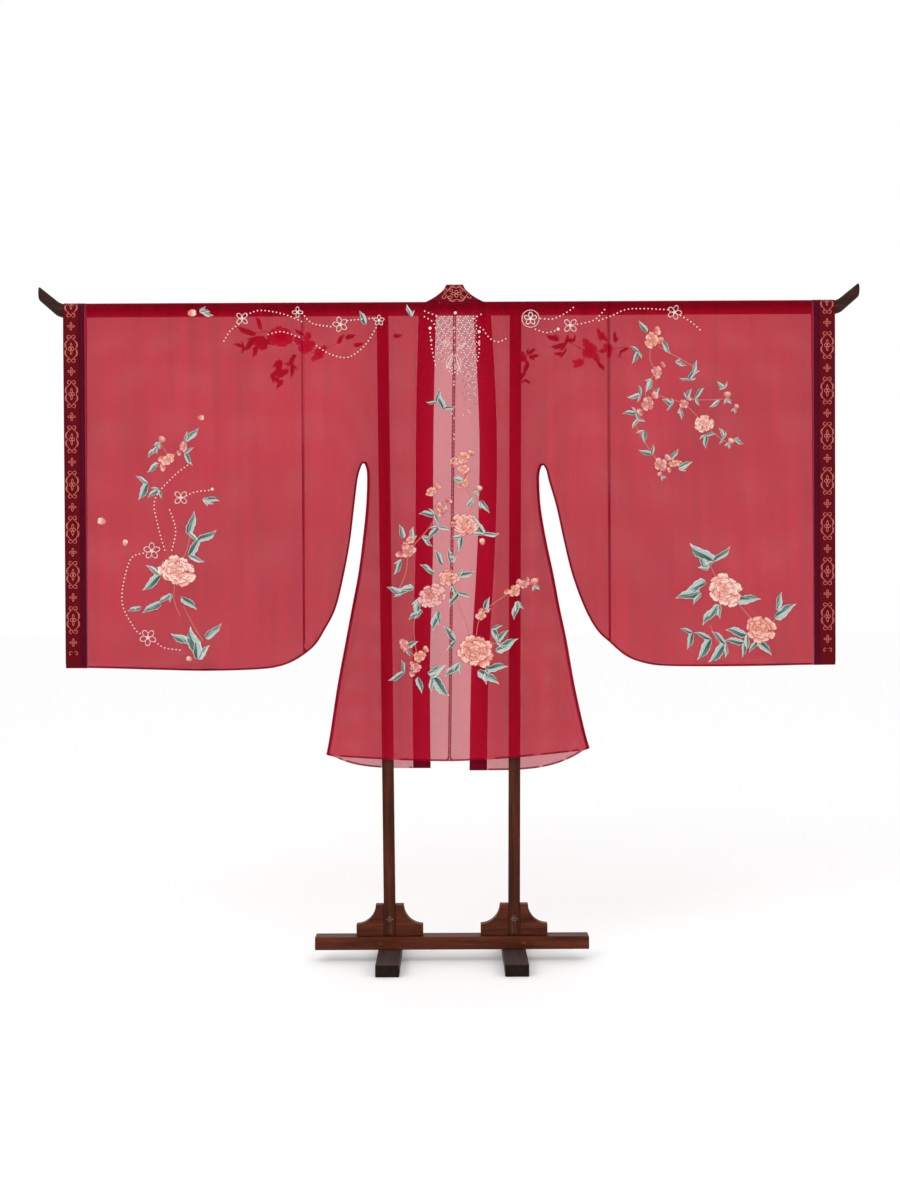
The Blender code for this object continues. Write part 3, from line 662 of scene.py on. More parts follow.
class Paint:
    """A material with a short way to add and join its nodes."""

    def __init__(self, name):
        self.material = bpy.data.materials.new(name)
        self.material.use_nodes = True
        self.nodes = self.material.node_tree.nodes
        self.links = self.material.node_tree.links
        self.shader = self.nodes["Principled BSDF"]
        self.output = self.nodes["Material Output"]

    def put(self, socket, value):
        value = getattr(value, "socket", value)
        if isinstance(value, bpy.types.NodeSocket):
            self.links.new(value, socket)
        elif isinstance(value, tuple) and len(value) == 3 and socket.type == "RGBA":
            socket.default_value = (*value, 1.0)
        else:
            socket.default_value = value

    def node(self, kind, out=0, settings=None, **inputs):
        """Add a node. An input is named, or numbered as in i0."""
        made = self.nodes.new(kind)
        for key, value in (settings or {}).items():
            setattr(made, key, value)
        for key, value in inputs.items():
            numbered = key[0] == "i" and key[1:].isdigit()
            self.put(made.inputs[int(key[1:]) if numbered else key.replace("_", " ")], value)
        return Value(self, made.outputs[out])

    def math(self, operation, a, b=0.0, clamp=False):
        return self.node("ShaderNodeMath", settings={"operation": operation, "use_clamp": clamp}, i0=a, i1=b)

    def vector_math(self, operation, a, b):
        return self.node("ShaderNodeVectorMath", settings={"operation": operation}, i0=a, i1=b)

    def colours(self, share, low, high):
        return self.node("ShaderNodeMix", out=2, settings={"data_type": "RGBA"}, i0=share, i6=low, i7=high)

    def uv(self):
        pattern = self.node("ShaderNodeUVMap", settings={"uv_map": "pattern"})
        split = self.nodes.new("ShaderNodeSeparateXYZ")
        self.put(split.inputs[0], pattern)
        return Value(self, split.outputs[0]), Value(self, split.outputs[1])

    def own_place(self):
        return self.node("ShaderNodeTexCoord", out=3)

    def spot(self, a, b, c=0.0):
        return self.node("ShaderNodeCombineXYZ", i0=a, i1=b, i2=c)

    def noise(self, vector, scale, detail=3.0, roughness=0.55):
        return self.node("ShaderNodeTexNoise", Vector=vector, Scale=scale, Detail=detail, Roughness=roughness)

    def streaks(self, u, v, offset=0.0, detail=2.0):
        """Noise drawn out one way, for threads, slubs, grain and the painted shade of folds."""
        return self.noise(self.spot(u, v, offset), 1.0, detail)

    def bump(self, height, strength, distance):
        return self.node("ShaderNodeBump", Height=height, Strength=strength, Distance=distance)

    def finish(self, colour, roughness, normal, **constants):
        inputs = {"Base Color": colour, "Roughness": roughness, "Normal": normal}
        inputs.update({key.replace("_", " "): value for key, value in constants.items()})
        for name, value in inputs.items():
            self.put(self.shader.inputs[name], value)
        return self.material


def shade(colour, share):
    return tuple(share * part for part in colour)


def ribs(value, pitch):
    return (value * (2 * math.pi / pitch)).sine()


def gauze_paint(name, light, deep, through_light, opening, behind):
    """Sheer organza: open between its threads, and lit a little from behind, with painted shade over the pole
    and in streaks of soft folds.
    """
    paint = Paint(name)
    u, v = paint.uv()
    across, along = (ribs(way, GAUZE_PITCH).remap(-1.0, 1.0) for way in (u, v))
    threads = 1.0 - across * along
    slub_v = paint.streaks(u * 900.0, v * 26.0)
    slub_u = paint.streaks(u * 30.0, v * 900.0, 3.0)
    slubs = slub_v * 0.5 + slub_u * 0.5
    cloud = paint.noise(paint.spot(u, v), 2.2, 3.0)
    # share mixes random unevenness and slubs with painted shade: the long vertical streaks stand for the
    # shade of soft folds
    share = (cloud * 0.8 + paint.streaks(u * 34.0, v * 1.6, 7.0, 3.0) + slubs * 0.4).remap(0.85, 1.35)
    # painted shade: the cloth is darkened over the pole, where the dark wood lies under it
    painted_pole_shade = v.size().remap(0.030, 0.046, 0.55, 0.0)
    lap = u.size().remap(TRIM_IN - LAP_WIDTH, TRIM_IN - 0.4 * LAP_WIDTH, 0.0, 0.60)
    colour = paint.colours(painted_pole_shade, paint.colours(share, deep, light), shade(deep, 0.45))
    colour = paint.colours(lap, colour, LAP_TINT)
    normal = paint.bump(threads * 0.6 + slubs * 0.8, 0.22, 0.0004)
    material = paint.finish(colour, slubs.remap(0.3, 0.7, 0.55, 0.72), normal, Sheen_Weight=0.05,
                            Sheen_Roughness=0.4, Sheen_Tint=(1.0, 0.3, 0.36, 1.0), Specular_IOR_Level=0.0)
    # the light let through carries the same painted fold shade
    lit = paint.colours(lap, paint.colours(share, shade(through_light, 0.82), through_light), LAP_TINT)
    glow = paint.node("ShaderNodeBsdfTranslucent", Color=lit, Normal=normal)
    cloth_side = paint.node("ShaderNodeMixShader", i0=behind, i1=paint.shader.outputs[0], i2=glow)
    clear = paint.node("ShaderNodeBsdfTransparent", Color=(1.0, 1.0, 1.0))
    holes = (slubs - 0.5) * 0.10 + (0.75 - threads) * 0.35
    covered = paint.math("SUBTRACT", 1.0 - opening, holes, clamp=True)
    seen = paint.node("ShaderNodeMixShader", i0=covered, i1=clear, i2=cloth_side)
    paint.put(paint.output.inputs["Surface"], seen)
    return material


def silk_paint(name, light, deep):
    """Close silk cloth with fine slanting ribs."""
    paint = Paint(name)
    u, v = paint.uv()
    threads = paint.streaks(u * 700.0, v * 50.0)
    share = (paint.noise(paint.spot(u, v), 40.0, 4.0) + threads).remap(0.75, 1.25)
    normal = paint.bump(ribs(u + v * 0.6, SILK_PITCH) * 0.4 + threads, 0.25, 0.0004)
    return paint.finish(paint.colours(share, deep, light), threads.remap(0.3, 0.7, 0.42, 0.58), normal,
                        Sheen_Weight=0.02, Sheen_Roughness=0.4, Specular_IOR_Level=0.04)


def brocade_paint(name, light, deep, speck):
    """Dark red brocade with a small woven diaper ground."""
    paint = Paint(name)
    u, v = paint.uv()
    diaper = (ribs(u + v, DIAPER_PITCH) * ribs(u - v, DIAPER_PITCH)).remap(-0.2, 0.35)
    fine = paint.streaks(u * 800.0, v * 200.0)
    colour = paint.colours(fine.remap(0.3, 0.7, 0.0, 0.35), paint.colours(diaper * 0.8, deep, light), speck)
    return paint.finish(colour, fine.remap(0.3, 0.7, 0.42, 0.6), paint.bump(diaper + fine, 0.35, 0.0004),
                        Sheen_Weight=0.02, Sheen_Roughness=0.4, Specular_IOR_Level=0.05)


def thread_paint(name, base, edge, tip, metal=0.0, rough=(0.42, 0.6), pale_half=None, rib=None,
                 rim_width=0.16, shine=0.12):
    """Satin stitch: the colour runs from base to tip and turns darker at the rim."""
    paint = Paint(name)
    u, v = paint.uv()
    lean = v + u * 0.15
    grain = paint.streaks(u * 6.0, v * 60.0)
    colour = paint.colours((u + (grain - 0.5) * 0.55).remap(0.30, 0.86), base, tip)
    if pale_half:
        off = (v - 0.48).size()
        side_ribs = (u * 44.0 + off * 18.0).sine()
        for share, over in ((v.remap(0.44, 0.52), pale_half), (side_ribs.remap(0.4, 1.0, 0.0, 0.4), rib),
                            (off.remap(0.03, 0.09, 0.85, 0.0), rib)):
            colour = paint.colours(share, colour, over)
    else:
        veins = (lean * 31.0).sine().remap(0.35, 1.0, 0.0, 0.45)
        colour = paint.colours(veins * u.remap(0.55, 0.95, 1.0, 0.0), colour, edge)
    rim = (v.lesser(1.0 - v) * 1.3).lesser(1.0 - u)
    colour = paint.colours(rim.remap(0.5 * rim_width, rim_width, 0.9, 0.0), colour, edge)
    normal = paint.bump((lean * 150.0).sine() * 0.4 + grain, 0.4, 0.0005)
    return paint.finish(colour, grain.remap(0.3, 0.7, *rough), normal, Metallic=metal,
                        Sheen_Weight=0.04, Sheen_Roughness=0.4, Specular_IOR_Level=shine)


def bead_paint(name, colour, deep, rough, metal=0.0):
    paint = Paint(name)
    blots = paint.noise(paint.own_place(), 260.0, 2.0)
    mixed = paint.colours(blots.remap(0.35, 0.65), deep, colour)
    return paint.finish(mixed, blots.remap(0.3, 0.7, rough, rough + 0.12), paint.bump(blots, 0.1, 0.0002),
                        Metallic=metal, Specular_IOR_Level=0.6)


def wood_paint(name, axis, dark, light, rough=0.40, top_sheen=None):
    """Dark stained hardwood with its grain along one axis; where a face turns up, painted sheen makes it
    lighter and greyer.
    """
    paint = Paint(name)
    stretch = tuple(2.6 if way == axis else 46.0 for way in range(3))
    scaled = paint.vector_math("MULTIPLY", paint.own_place(), stretch)
    warp = paint.noise(scaled, 0.6, 3.0)
    grain = paint.noise(paint.vector_math("ADD", scaled, paint.spot(warp, warp * 1.6, warp)), 1.7, 6.0, 0.62)
    pores = paint.noise(paint.vector_math("MULTIPLY", scaled, (9.0, 9.0, 9.0)), 1.0, 2.0)
    colour = paint.colours(grain.remap(0.34, 0.66), dark, light)
    colour = paint.colours(pores.remap(0.5, 0.72, 0.0, 0.5), colour, shade(dark, 0.45))
    if top_sheen:
        # painted sheen: the faces that turn up are mixed towards a lighter, greyer colour
        upward = paint.node("ShaderNodeSeparateXYZ", out=2, Vector=paint.node("ShaderNodeNewGeometry", out=1))
        colour = paint.colours(upward.remap(0.55, 0.92) * grain.remap(0.30, 0.70, 0.6, 1.0), colour, top_sheen)
    normal = paint.bump(grain * 0.7 - pores * 0.8, 0.25, 0.0006)
    return paint.finish(colour, grain.remap(0.3, 0.7, rough, rough + 0.16), normal, Specular_IOR_Level=0.10)


def plain_paint(name, colour, deep):
    paint = Paint(name)
    blots = paint.noise(paint.own_place(), 3.0, 4.0)
    return paint.finish(paint.colours(blots, deep, colour), blots.remap(0.3, 0.7, 0.75, 0.9),
                        paint.bump(blots, 0.02, 0.001), Specular_IOR_Level=0.1)


GAUZE_PITCH = 0.0013
SILK_PITCH = 0.0016
DIAPER_PITCH = 0.0052
GAUZE = gauze_paint("gauze", (0.510, 0.0022, 0.022), (0.380, 0.0012, 0.015),
                    through_light=(0.72, 0.040, 0.100), opening=0.238, behind=0.37)
GAUZE_HEM = gauze_paint("gauze_hem", (0.270, 0.0012, 0.019), (0.200, 0.0008, 0.014),
                        through_light=(0.30, 0.004, 0.03), opening=0.02, behind=0.12)
BROCADE = brocade_paint("brocade_cloth", (0.140, 0.0018, 0.0070), (0.088, 0.0008, 0.0038),
                        speck=(0.060, 0.001, 0.004))
PLUM = silk_paint("plum_silk", (0.085, 0.0010, 0.013), (0.055, 0.0005, 0.009))
BAND = silk_paint("crimson_silk", (0.165, 0.0006, 0.0120), (0.125, 0.0004, 0.0085))
CORAL_EDGE = (0.34, 0.036, 0.031)
PETALS = {
    "cream": [
        thread_paint("petal_cream", (0.66, 0.225, 0.180), CORAL_EDGE, (0.90, 0.69, 0.61)),
        thread_paint("petal_cream_deep", (0.58, 0.140, 0.110), (0.38, 0.050, 0.044), (0.80, 0.49, 0.41)),
    ],
    "peach": [
        thread_paint("petal_peach", (0.63, 0.172, 0.120), CORAL_EDGE, (0.86, 0.57, 0.48)),
        thread_paint("petal_coral", (0.56, 0.100, 0.073), (0.36, 0.030, 0.028), (0.76, 0.39, 0.31)),
    ],
    "rose": [
        thread_paint("petal_rose", (0.57, 0.165, 0.155), (0.34, 0.040, 0.048), (0.80, 0.52, 0.49)),
        thread_paint("petal_rose_deep", (0.50, 0.075, 0.075), (0.30, 0.022, 0.030), (0.66, 0.29, 0.265)),
    ],
}
LEAF = thread_paint("leaf_thread", (0.034, 0.098, 0.080), (0.72, 0.65, 0.61), (0.13, 0.26, 0.215),
                    pale_half=(0.38, 0.49, 0.455), rib=(0.020, 0.060, 0.050), rim_width=0.13)
LEAF_PALE = thread_paint("leaf_pale_thread", (0.10, 0.20, 0.165), (0.74, 0.67, 0.63), (0.24, 0.35, 0.30),
                         pale_half=(0.50, 0.55, 0.52), rib=(0.044, 0.100, 0.088), rim_width=0.15)
SLENDER = thread_paint("slender_thread", (0.66, 0.36, 0.32), (0.72, 0.47, 0.42), (0.82, 0.62, 0.57))
STAMEN = thread_paint("stamen_thread", (0.56, 0.30, 0.09), (0.40, 0.14, 0.05), (0.68, 0.47, 0.22))
STEM = thread_paint("stem_thread", (0.46, 0.15, 0.105), (0.40, 0.11, 0.08), (0.52, 0.20, 0.15))
REVERSE = thread_paint("reverse_thread", (0.58, 0.060, 0.112), (0.24, 0.018, 0.036),
                       (0.78, 0.150, 0.200), shine=0.0)
REVERSE_LEAF = thread_paint("reverse_leaf_thread", (0.034, 0.045, 0.045), (0.022, 0.036, 0.035),
                            (0.110, 0.065, 0.068), shine=0.0)
METAL_THREAD = {"metal": 0.15, "rough": (0.34, 0.5), "shine": 0.2, "rim_width": 0.02}
GOLD = thread_paint("gold_thread", (0.66, 0.142, 0.104), (0.56, 0.100, 0.074), (0.76, 0.23, 0.170),
                    **METAL_THREAD)
NAPE_GOLD = thread_paint("nape_gold_thread", (0.78, 0.185, 0.130), (0.62, 0.120, 0.085), (0.88, 0.34, 0.27),
                         **METAL_THREAD)
PEARL = bead_paint("pearl", (0.88, 0.72, 0.69), (0.78, 0.58, 0.55), 0.22)
SEQUIN = bead_paint("sequin", (0.30, 0.17, 0.16), (0.18, 0.10, 0.095), 0.25, metal=0.2)
ROSE_BEAD = bead_paint("rose_bead", (0.84, 0.36, 0.38), (0.70, 0.24, 0.27), 0.2)
KNOT = bead_paint("knot_bead", (0.36, 0.002, 0.024), (0.24, 0.001, 0.016), 0.3)
RAIL_WOOD = wood_paint("wood_x", 0, (0.040, 0.0078, 0.0028), (0.122, 0.0262, 0.0092))
POST_WOOD = wood_paint("wood_z", 2, (0.030, 0.0058, 0.0022), (0.088, 0.0190, 0.0070))
# painted sheen on the tops of the feet
FOOT_WOOD = wood_paint("wood_foot", 1, (0.0060, 0.0022, 0.0016), (0.017, 0.0075, 0.0055),
                       top_sheen=(0.062, 0.041, 0.037))
POLE_WOOD = wood_paint("wood_dark", 0, (0.0150, 0.0050, 0.0030), (0.044, 0.0150, 0.0092))
# painted highlight: pale wood for the glint specks at the foot of each post
GLINT_WOOD = wood_paint("wood_glint", 2, (0.150, 0.088, 0.074), (0.330, 0.225, 0.200), 0.55)
FLOOR = plain_paint("pale_floor", (0.99, 0.99, 0.988), (0.975, 0.975, 0.972))


# The stand

def place(name, body, surface, rounding):
    mesh = bpy.data.meshes.new(name)
    bmesh.ops.recalc_face_normals(body, faces=body.faces)
    body.to_mesh(mesh)
    body.free()
    mesh.materials.append(surface)
    piece = in_scene(name, mesh)
    mesh.shade_smooth()
    mesh.set_sharp_from_angle(angle=math.radians(50))
    if rounding:
        bevel = piece.modifiers.new("rounding", "BEVEL")
        bevel.width = rounding
        bevel.segments = 3
        bevel.limit_method = "ANGLE"
        bevel.angle_limit = math.radians(40)
        bevel.harden_normals = True
    return piece


def joined(rings):
    """A body through rings of equally many points, closed at both ends."""
    body = bmesh.new()
    rings = [[body.verts.new(point) for point in ring] for ring in rings]
    for here, there in zip(rings, rings[1:]):
        for side in range(len(here)):
            following = (side + 1) % len(here)
            body.faces.new((here[side], here[following], there[following], there[side]))
    body.faces.new(rings[0])
    body.faces.new(reversed(rings[-1]))
    return body


def prism(name, outline, depth, surface, rounding):
    rings = [[(x, y, z) for x, z in outline] for y in (-0.5 * depth, 0.5 * depth)]
    return place(name, joined(rings), surface, rounding)


def pole(name, surface):
    """The straight pole with both ends turned up."""
    half = [(POLE_STRAIGHT, POLE_Z, POLE_HALF_HEIGHT, POLE_HALF_DEPTH)]
    for step in range(1, POLE_BEND_STEPS + 1):
        angle = POLE_BEND_ANGLE * step / POLE_BEND_STEPS
        height = mix(POLE_HALF_HEIGHT, POLE_BEND_HALF_HEIGHT, step / POLE_BEND_STEPS)
        half.append((POLE_STRAIGHT + POLE_BEND_RADIUS * math.sin(angle),
                     POLE_Z + POLE_BEND_RADIUS * (1.0 - math.cos(angle)), height, POLE_HALF_DEPTH))
    end_z = half[-1][1] + (POLE_HALF_SPAN - half[-1][0]) * math.tan(POLE_BEND_ANGLE)
    for back, fall, narrowing in POLE_TIP:
        half.append((POLE_HALF_SPAN - back, end_z - fall, POLE_TIP_HALF_HEIGHT - narrowing,
                     POLE_TIP_HALF_DEPTH - narrowing))
    path = [(-x, z, height, depth) for x, z, height, depth in reversed(half)] + half
    turns = [2 * math.pi * side / POLE_SIDES for side in range(POLE_SIDES)]
    rings = [[(x, depth * math.cos(turn), z + height * math.sin(turn)) for turn in turns]
             for x, z, height, depth in path]
    return place(name, joined(rings), surface, 0.0)


STRETCHER_LOW = FOOT_HEIGHT + SEAM_GAP
POST_LOW = FOOT_HEIGHT + STRETCHER_HEIGHT + 2 * SEAM_GAP
POST_HIGH = POLE_Z - POLE_HALF_HEIGHT - SEAM_GAP


def post_x(z):
    base = FOOT_HEIGHT + STRETCHER_HEIGHT
    return mix(POST_BASE_X, POST_TOP_X, (z - base) / (POLE_Z - POLE_HALF_HEIGHT - base))


def rectangle(middle, width, low, high):
    half = 0.5 * width
    return [(middle - half, low), (middle + half, low), (middle + half, high), (middle - half, high)]


def bracket_outline(side, away):
    """A bracket with a hollow curved edge, on the side of the post that away points to."""
    top = POST_LOW + BRACKET_HEIGHT
    start = side * post_x(POST_LOW)
    face = 0.5 * POST_SIDE + SEAM_GAP
    outline = [(start + away * face, POST_LOW), (start + away * (face + BRACKET_REACH), POST_LOW)]
    for step in range(BRACKET_STEPS + 1):
        angle = 0.5 * math.pi * step / BRACKET_STEPS
        reach = face + BRACKET_REACH - (BRACKET_REACH - BRACKET_TOP_REACH) * math.sin(angle)
        outline.append((start + away * reach, top - (BRACKET_HEIGHT - BRACKET_EDGE_HEIGHT) * math.cos(angle)))
    return outline + [(side * post_x(top) + away * face, top)]


def ride(piece, slot_name, *nodes):
    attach(piece, "root")
    if nodes:
        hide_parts(*nodes)
    return piece


def stand():
    ride(pole("wood_pole", POLE_WOOD), "wood", "pole")
    rail = rectangle(0.0, STRETCHER_LENGTH, STRETCHER_LOW, STRETCHER_LOW + STRETCHER_HEIGHT)
    shapes = [("stretcher", rail, STRETCHER_DEPTH, RAIL_WOOD, WOOD_ROUNDING)]
    for side, word in SIDES:
        foot = rectangle(side * POST_BASE_X, FOOT_WIDTH, 0.0, FOOT_HEIGHT)
        shapes.append(("foot_" + word, foot, FOOT_LENGTH, FOOT_WOOD, WOOD_ROUNDING))
        low, high = (side * post_x(z) for z in (POST_LOW, POST_HIGH))
        half = 0.5 * POST_SIDE
        post = [(low - half, POST_LOW), (low + half, POST_LOW), (high + half, POST_HIGH),
                (high - half, POST_HIGH)]
        shapes.append(("post_" + word, post, POST_SIDE, POST_WOOD, WOOD_ROUNDING))
        for outer, end in ((1, "_outer"), (-1, "_inner")):
            bracket = bracket_outline(side, side * outer)
            shapes.append(("bracket_" + word + end, bracket, BRACKET_THICKNESS, RAIL_WOOD, BRACKET_ROUNDING))
    for node, *shape in shapes:
        ride(prism("wood_" + node, *shape), "wood", node)


def glint_specks():
    """Painted highlights: pale specks at the foot of each post and on the stretcher beside it."""
    verts = []
    for side, _ in SIDES:
        x = side * post_x(0.112)
        spots = [(x + SPECK_PITCH * a, SPECK_Z + SPECK_PITCH * b, 0.0016, POST_SIDE)
                 for a in range(-2, 3) for b in range(-2, 3) if abs(a) + abs(b) < 3]
        spots += [(x + 0.0046 * a, 0.0960 - 0.0052 * b, 0.0010, POST_SIDE)
                  for a in (-1, 0, 1) for b in range(5)]
        spots += [(x + side * 0.025 + 0.0045 * a, 0.0470 + 0.0045 * b, 0.0010, STRETCHER_DEPTH)
                  for a in (-1, 0, 1) for b in (0, 1)]
        for middle, z, reach, depth in spots:
            y = -0.5 * depth - SPECK_RISE
            verts += [(middle - reach, y, z), (middle, y, z - reach), (middle + reach, y, z),
                      (middle, y, z + reach)]
    faces = [tuple(range(start, start + 4)) for start in range(0, len(verts), 4)]
    ride(build("wood_glint_specks", verts, faces, [GLINT_WOOD]), "wood")


stand()
glint_specks()


# The robe

SHEETS = {}


def hang(node, slot_name, made, thickness=0.0):
    """Put a cut piece in place of its CAD node and keep the size of its cut."""
    piece, size, area = made
    if thickness:
        solid = piece.modifiers.new("thickness", "SOLIDIFY")
        solid.thickness = thickness
        solid.offset = 0.0
    SHEETS[node] = (ride(piece, slot_name, node), size, area)


def robe():
    sheer = [GAUZE, GAUZE_HEM]
    for side, word in SIDES:
        hang("body_" + word, "gauze", body_half("robe_body_" + word, side, sheer))
        seam = side * SLEEVE_SEAM_X[side] + 0.5 * SEAM_GAP
        for node, slot_name, x_in, x_out, seams, hem, materials, thickness in (
                ("sleeve_", "gauze", seam, TRIM_IN - SEAM_GAP, SLEEVE_SEAM, CLOSED_HEM, sheer, 0.0),
                ("cuff_trim_", "plum_trim", TRIM_IN, TRIM_OUT, 0.0, 0.0, [PLUM, PLUM], TRIM_THICKNESS),
                ("cuff_brocade_", "brocade", TRIM_OUT + SEAM_GAP, CUFF_EDGE_X, 0.0, 0.0, [BROCADE, BROCADE],
                 TRIM_THICKNESS)):
            made = sleeve_ring("robe_" + node + word, side, x_in, x_out, seams, hem, materials)
            hang(node + word, slot_name, made, thickness)


robe()
BAND_POINTS, NAPE = band_stations()
band_piece, BAND_ALONG = strip_mesh("robe_collar_band", BAND_POINTS, [BAND])
BAND_LENGTH = float(BAND_ALONG[-1])
hang("collar_band", "band", (band_piece, (BAND_WIDTH, BAND_LENGTH), BAND_WIDTH * BAND_LENGTH), BAND_THICKNESS)


# Embroidery and beads

class Needlework:
    """Flat stitches and round beads that become one mesh for each piece of cloth."""

    def __init__(self):
        self.zones = {}

    def zone(self, name):
        empty = {"verts": [], "faces": [], "uv": [], "slots": [], "paints": [], "count": 0, "flat": []}
        return self.zones.setdefault(name, empty)

    def add(self, name, paint, verts, faces, uv):
        zone = self.zone(name)
        if paint not in zone["paints"]:
            zone["paints"].append(paint)
        zone["verts"].append(np.asarray(verts, float))
        zone["uv"].append(np.asarray(uv, float))
        zone["faces"] += [tuple(corner + zone["count"] for corner in face) for face in faces]
        zone["slots"] += [zone["paints"].index(paint)] * len(faces)
        zone["count"] += len(verts)

    def add_flat(self, name, paint, flat, height, faces, uv):
        """A shape on the flat cut, lifted together with the rest of its zone."""
        verts = np.column_stack([flat, np.broadcast_to(height, len(flat))])
        self.add(name, paint, verts, faces, uv)
        self.zone(name)["flat"].append(len(self.zone(name)["verts"]) - 1)

    def make(self):
        made = {}
        for name, zone in self.zones.items():
            if zone["flat"]:
                waiting = np.vstack([zone["verts"][index] for index in zone["flat"]])
                lifted = lift_off(waiting[:, :2], waiting[:, 2])
                start = 0
                for index in zone["flat"]:
                    size = len(zone["verts"][index])
                    zone["verts"][index] = lifted[start:start + size]
                    start += size
            made[name] = build(name, np.vstack(zone["verts"]), zone["faces"], zone["paints"],
                               uv=np.vstack(zone["uv"]), slots=zone["slots"])
        return made


WORK = Needlework()
THREAD_LIFT = 0.0007
PETAL_ROWS, PETAL_COLUMNS = 6, 7
LEAF_ROWS, LEAF_COLUMNS = 13, 5


def zone_of(x, v):
    layer = "back" if v > -0.5 * ARC_LENGTH else "front"
    if x < SLEEVE_SEAM_X[-1]:
        word = "sleeve_left"
    elif x > SLEEVE_SEAM_X[1]:
        word = "sleeve_right"
    else:
        word = "body_left" if x < 0.5 * (CENTRE_TOP_X + CENTRE_HEM_X) else "body_right"
    return layer + "_" + word


def stitch(centre, angle, local, height, columns, uv, paint, reverse=None):
    """Lay a small flat shape on the cloth. Its local b axis points up at angle 0."""
    x, v = centre
    up = -1.0 if v > 0 else 1.0
    cos, sin = math.cos(angle), math.sin(angle)
    a = local[:, 0] * cos - local[:, 1] * sin
    b = local[:, 0] * sin + local[:, 1] * cos
    flat = np.column_stack([x + a, v + up * b])
    name = "embroidery_" + zone_of(x, v)
    faces = grid_faces(len(flat) // columns, columns)
    WORK.add_flat(name, paint, flat, THREAD_LIFT + height, faces, uv)
    if reverse:
        WORK.add_flat(name, reverse, flat, -THREAD_LIFT - 0.25 * height, faces, uv)


def lengthwise_grid(rows, columns):
    """Places on a grid: s from 0 to 1 along a shape, t from -1 to 1 across it."""
    s, t = np.meshgrid(np.linspace(0, 1, rows), np.linspace(-1, 1, columns), indexing="ij")
    return s.ravel(), t.ravel()


def petal(centre, angle, base, length, half_width, level, paint, frill=0.0, notch=0.0, reverse=None,
          squash=(0.0, 1.0)):
    """One petal: its tip may be frilled or notched, and the flower turned aside."""
    s, t = lengthwise_grid(PETAL_ROWS, PETAL_COLUMNS)
    wide = np.sin(math.pi * (0.12 + 0.62 * s)) ** 0.8
    tip = 1.0 - 0.26 * t * t - notch * np.exp(-(t / 0.28) ** 2) + frill * np.cos(7.5 * t + 9.0 * angle)
    local = np.column_stack([half_width * t * wide, base + length * s * tip])
    aside, share = squash
    if share < 1.0:
        ways = np.array([math.cos(aside - angle), math.sin(aside - angle)])
        local = local - np.outer(local @ ways, ways) * (1.0 - share)
    height = level + 0.0009 * s * (1.0 - s) * 4 * (1 - t * t) + 0.0003 * s
    uv = np.column_stack([0.02 + 0.96 * s, 0.5 + 0.5 * t])
    stitch(centre, angle, local, height, PETAL_COLUMNS, uv, paint, reverse)


def leaf(centre, angle, length, paint, bend=0.0, broad=0.25):
    """A toothed leaf from its stalk, with a rib along the middle."""
    s, t = lengthwise_grid(LEAF_ROWS, LEAF_COLUMNS)
    wide = np.sin(math.pi * s ** 0.74) ** 1.05 * (1.0 + 0.14 * np.sin(26.0 * s + 2.0 * t))
    sway = bend * np.sin(0.5 * math.pi * s) ** 2
    local = length * np.column_stack([broad * t * wide + sway, s - 0.22 * sway * t])
    height = 0.0002 + 0.0006 * np.sin(math.pi * s) * (1.0 - 0.8 * np.exp(-9.0 * t * t))
    uv = np.column_stack([0.03 + 0.94 * s, 0.5 + 0.49 * t])
    stitch(centre, angle, local, height, LEAF_COLUMNS, uv, paint, REVERSE_LEAF)


# petals, start, length and half width as shares of the radius, level, deep
PEONY_RINGS = [
    (9, 0.46, 0.54, 0.30, 0.0, 0.3), (8, 0.32, 0.52, 0.27, 0.0005, 0.2),
    (7, 0.20, 0.48, 0.24, 0.0010, 0.3), (6, 0.09, 0.42, 0.20, 0.0015, 0.5),
    (5, 0.00, 0.32, 0.15, 0.0020, 0.7), (3, 0.00, 0.16, 0.09, 0.0025, 0.4),
]
# the same, but for the last
BLOSSOM_RINGS = [(6, 0.10, 0.90, 0.40, 0.0004), (5, 0.03, 0.55, 0.26, 0.0011)]


def stamens(centre, count, turn, pitch, length, half_width, level):
    for index in range(count):
        petal(centre, turn + index * pitch, 0.0, length, half_width, level, STAMEN)


def peony(centre, radius, tint):
    turn = RNG.uniform(0, 6.28)
    squash = (RNG.uniform(1.1, 2.0), RNG.uniform(0.80, 0.90))
    for ring, (count, base, length, wide, level, deep) in enumerate(PEONY_RINGS):
        for index in range(count):
            angle = turn + 0.37 * ring + 2 * math.pi * (index + RNG.uniform(-0.20, 0.20)) / count
            scale = radius * RNG.uniform(0.84, 1.12)
            paint = PETALS[tint][1 if RNG.random() < deep else 0]
            height = level + 0.0001 * (index % 3)
            petal(centre, angle, scale * base, scale * length, scale * wide, height, paint, frill=0.07,
                  notch=0.12, reverse=REVERSE if ring < 2 else None, squash=squash)
    stamens(centre, 5, turn, 1.26, 0.12 * radius, 0.03 * radius, 0.0030)


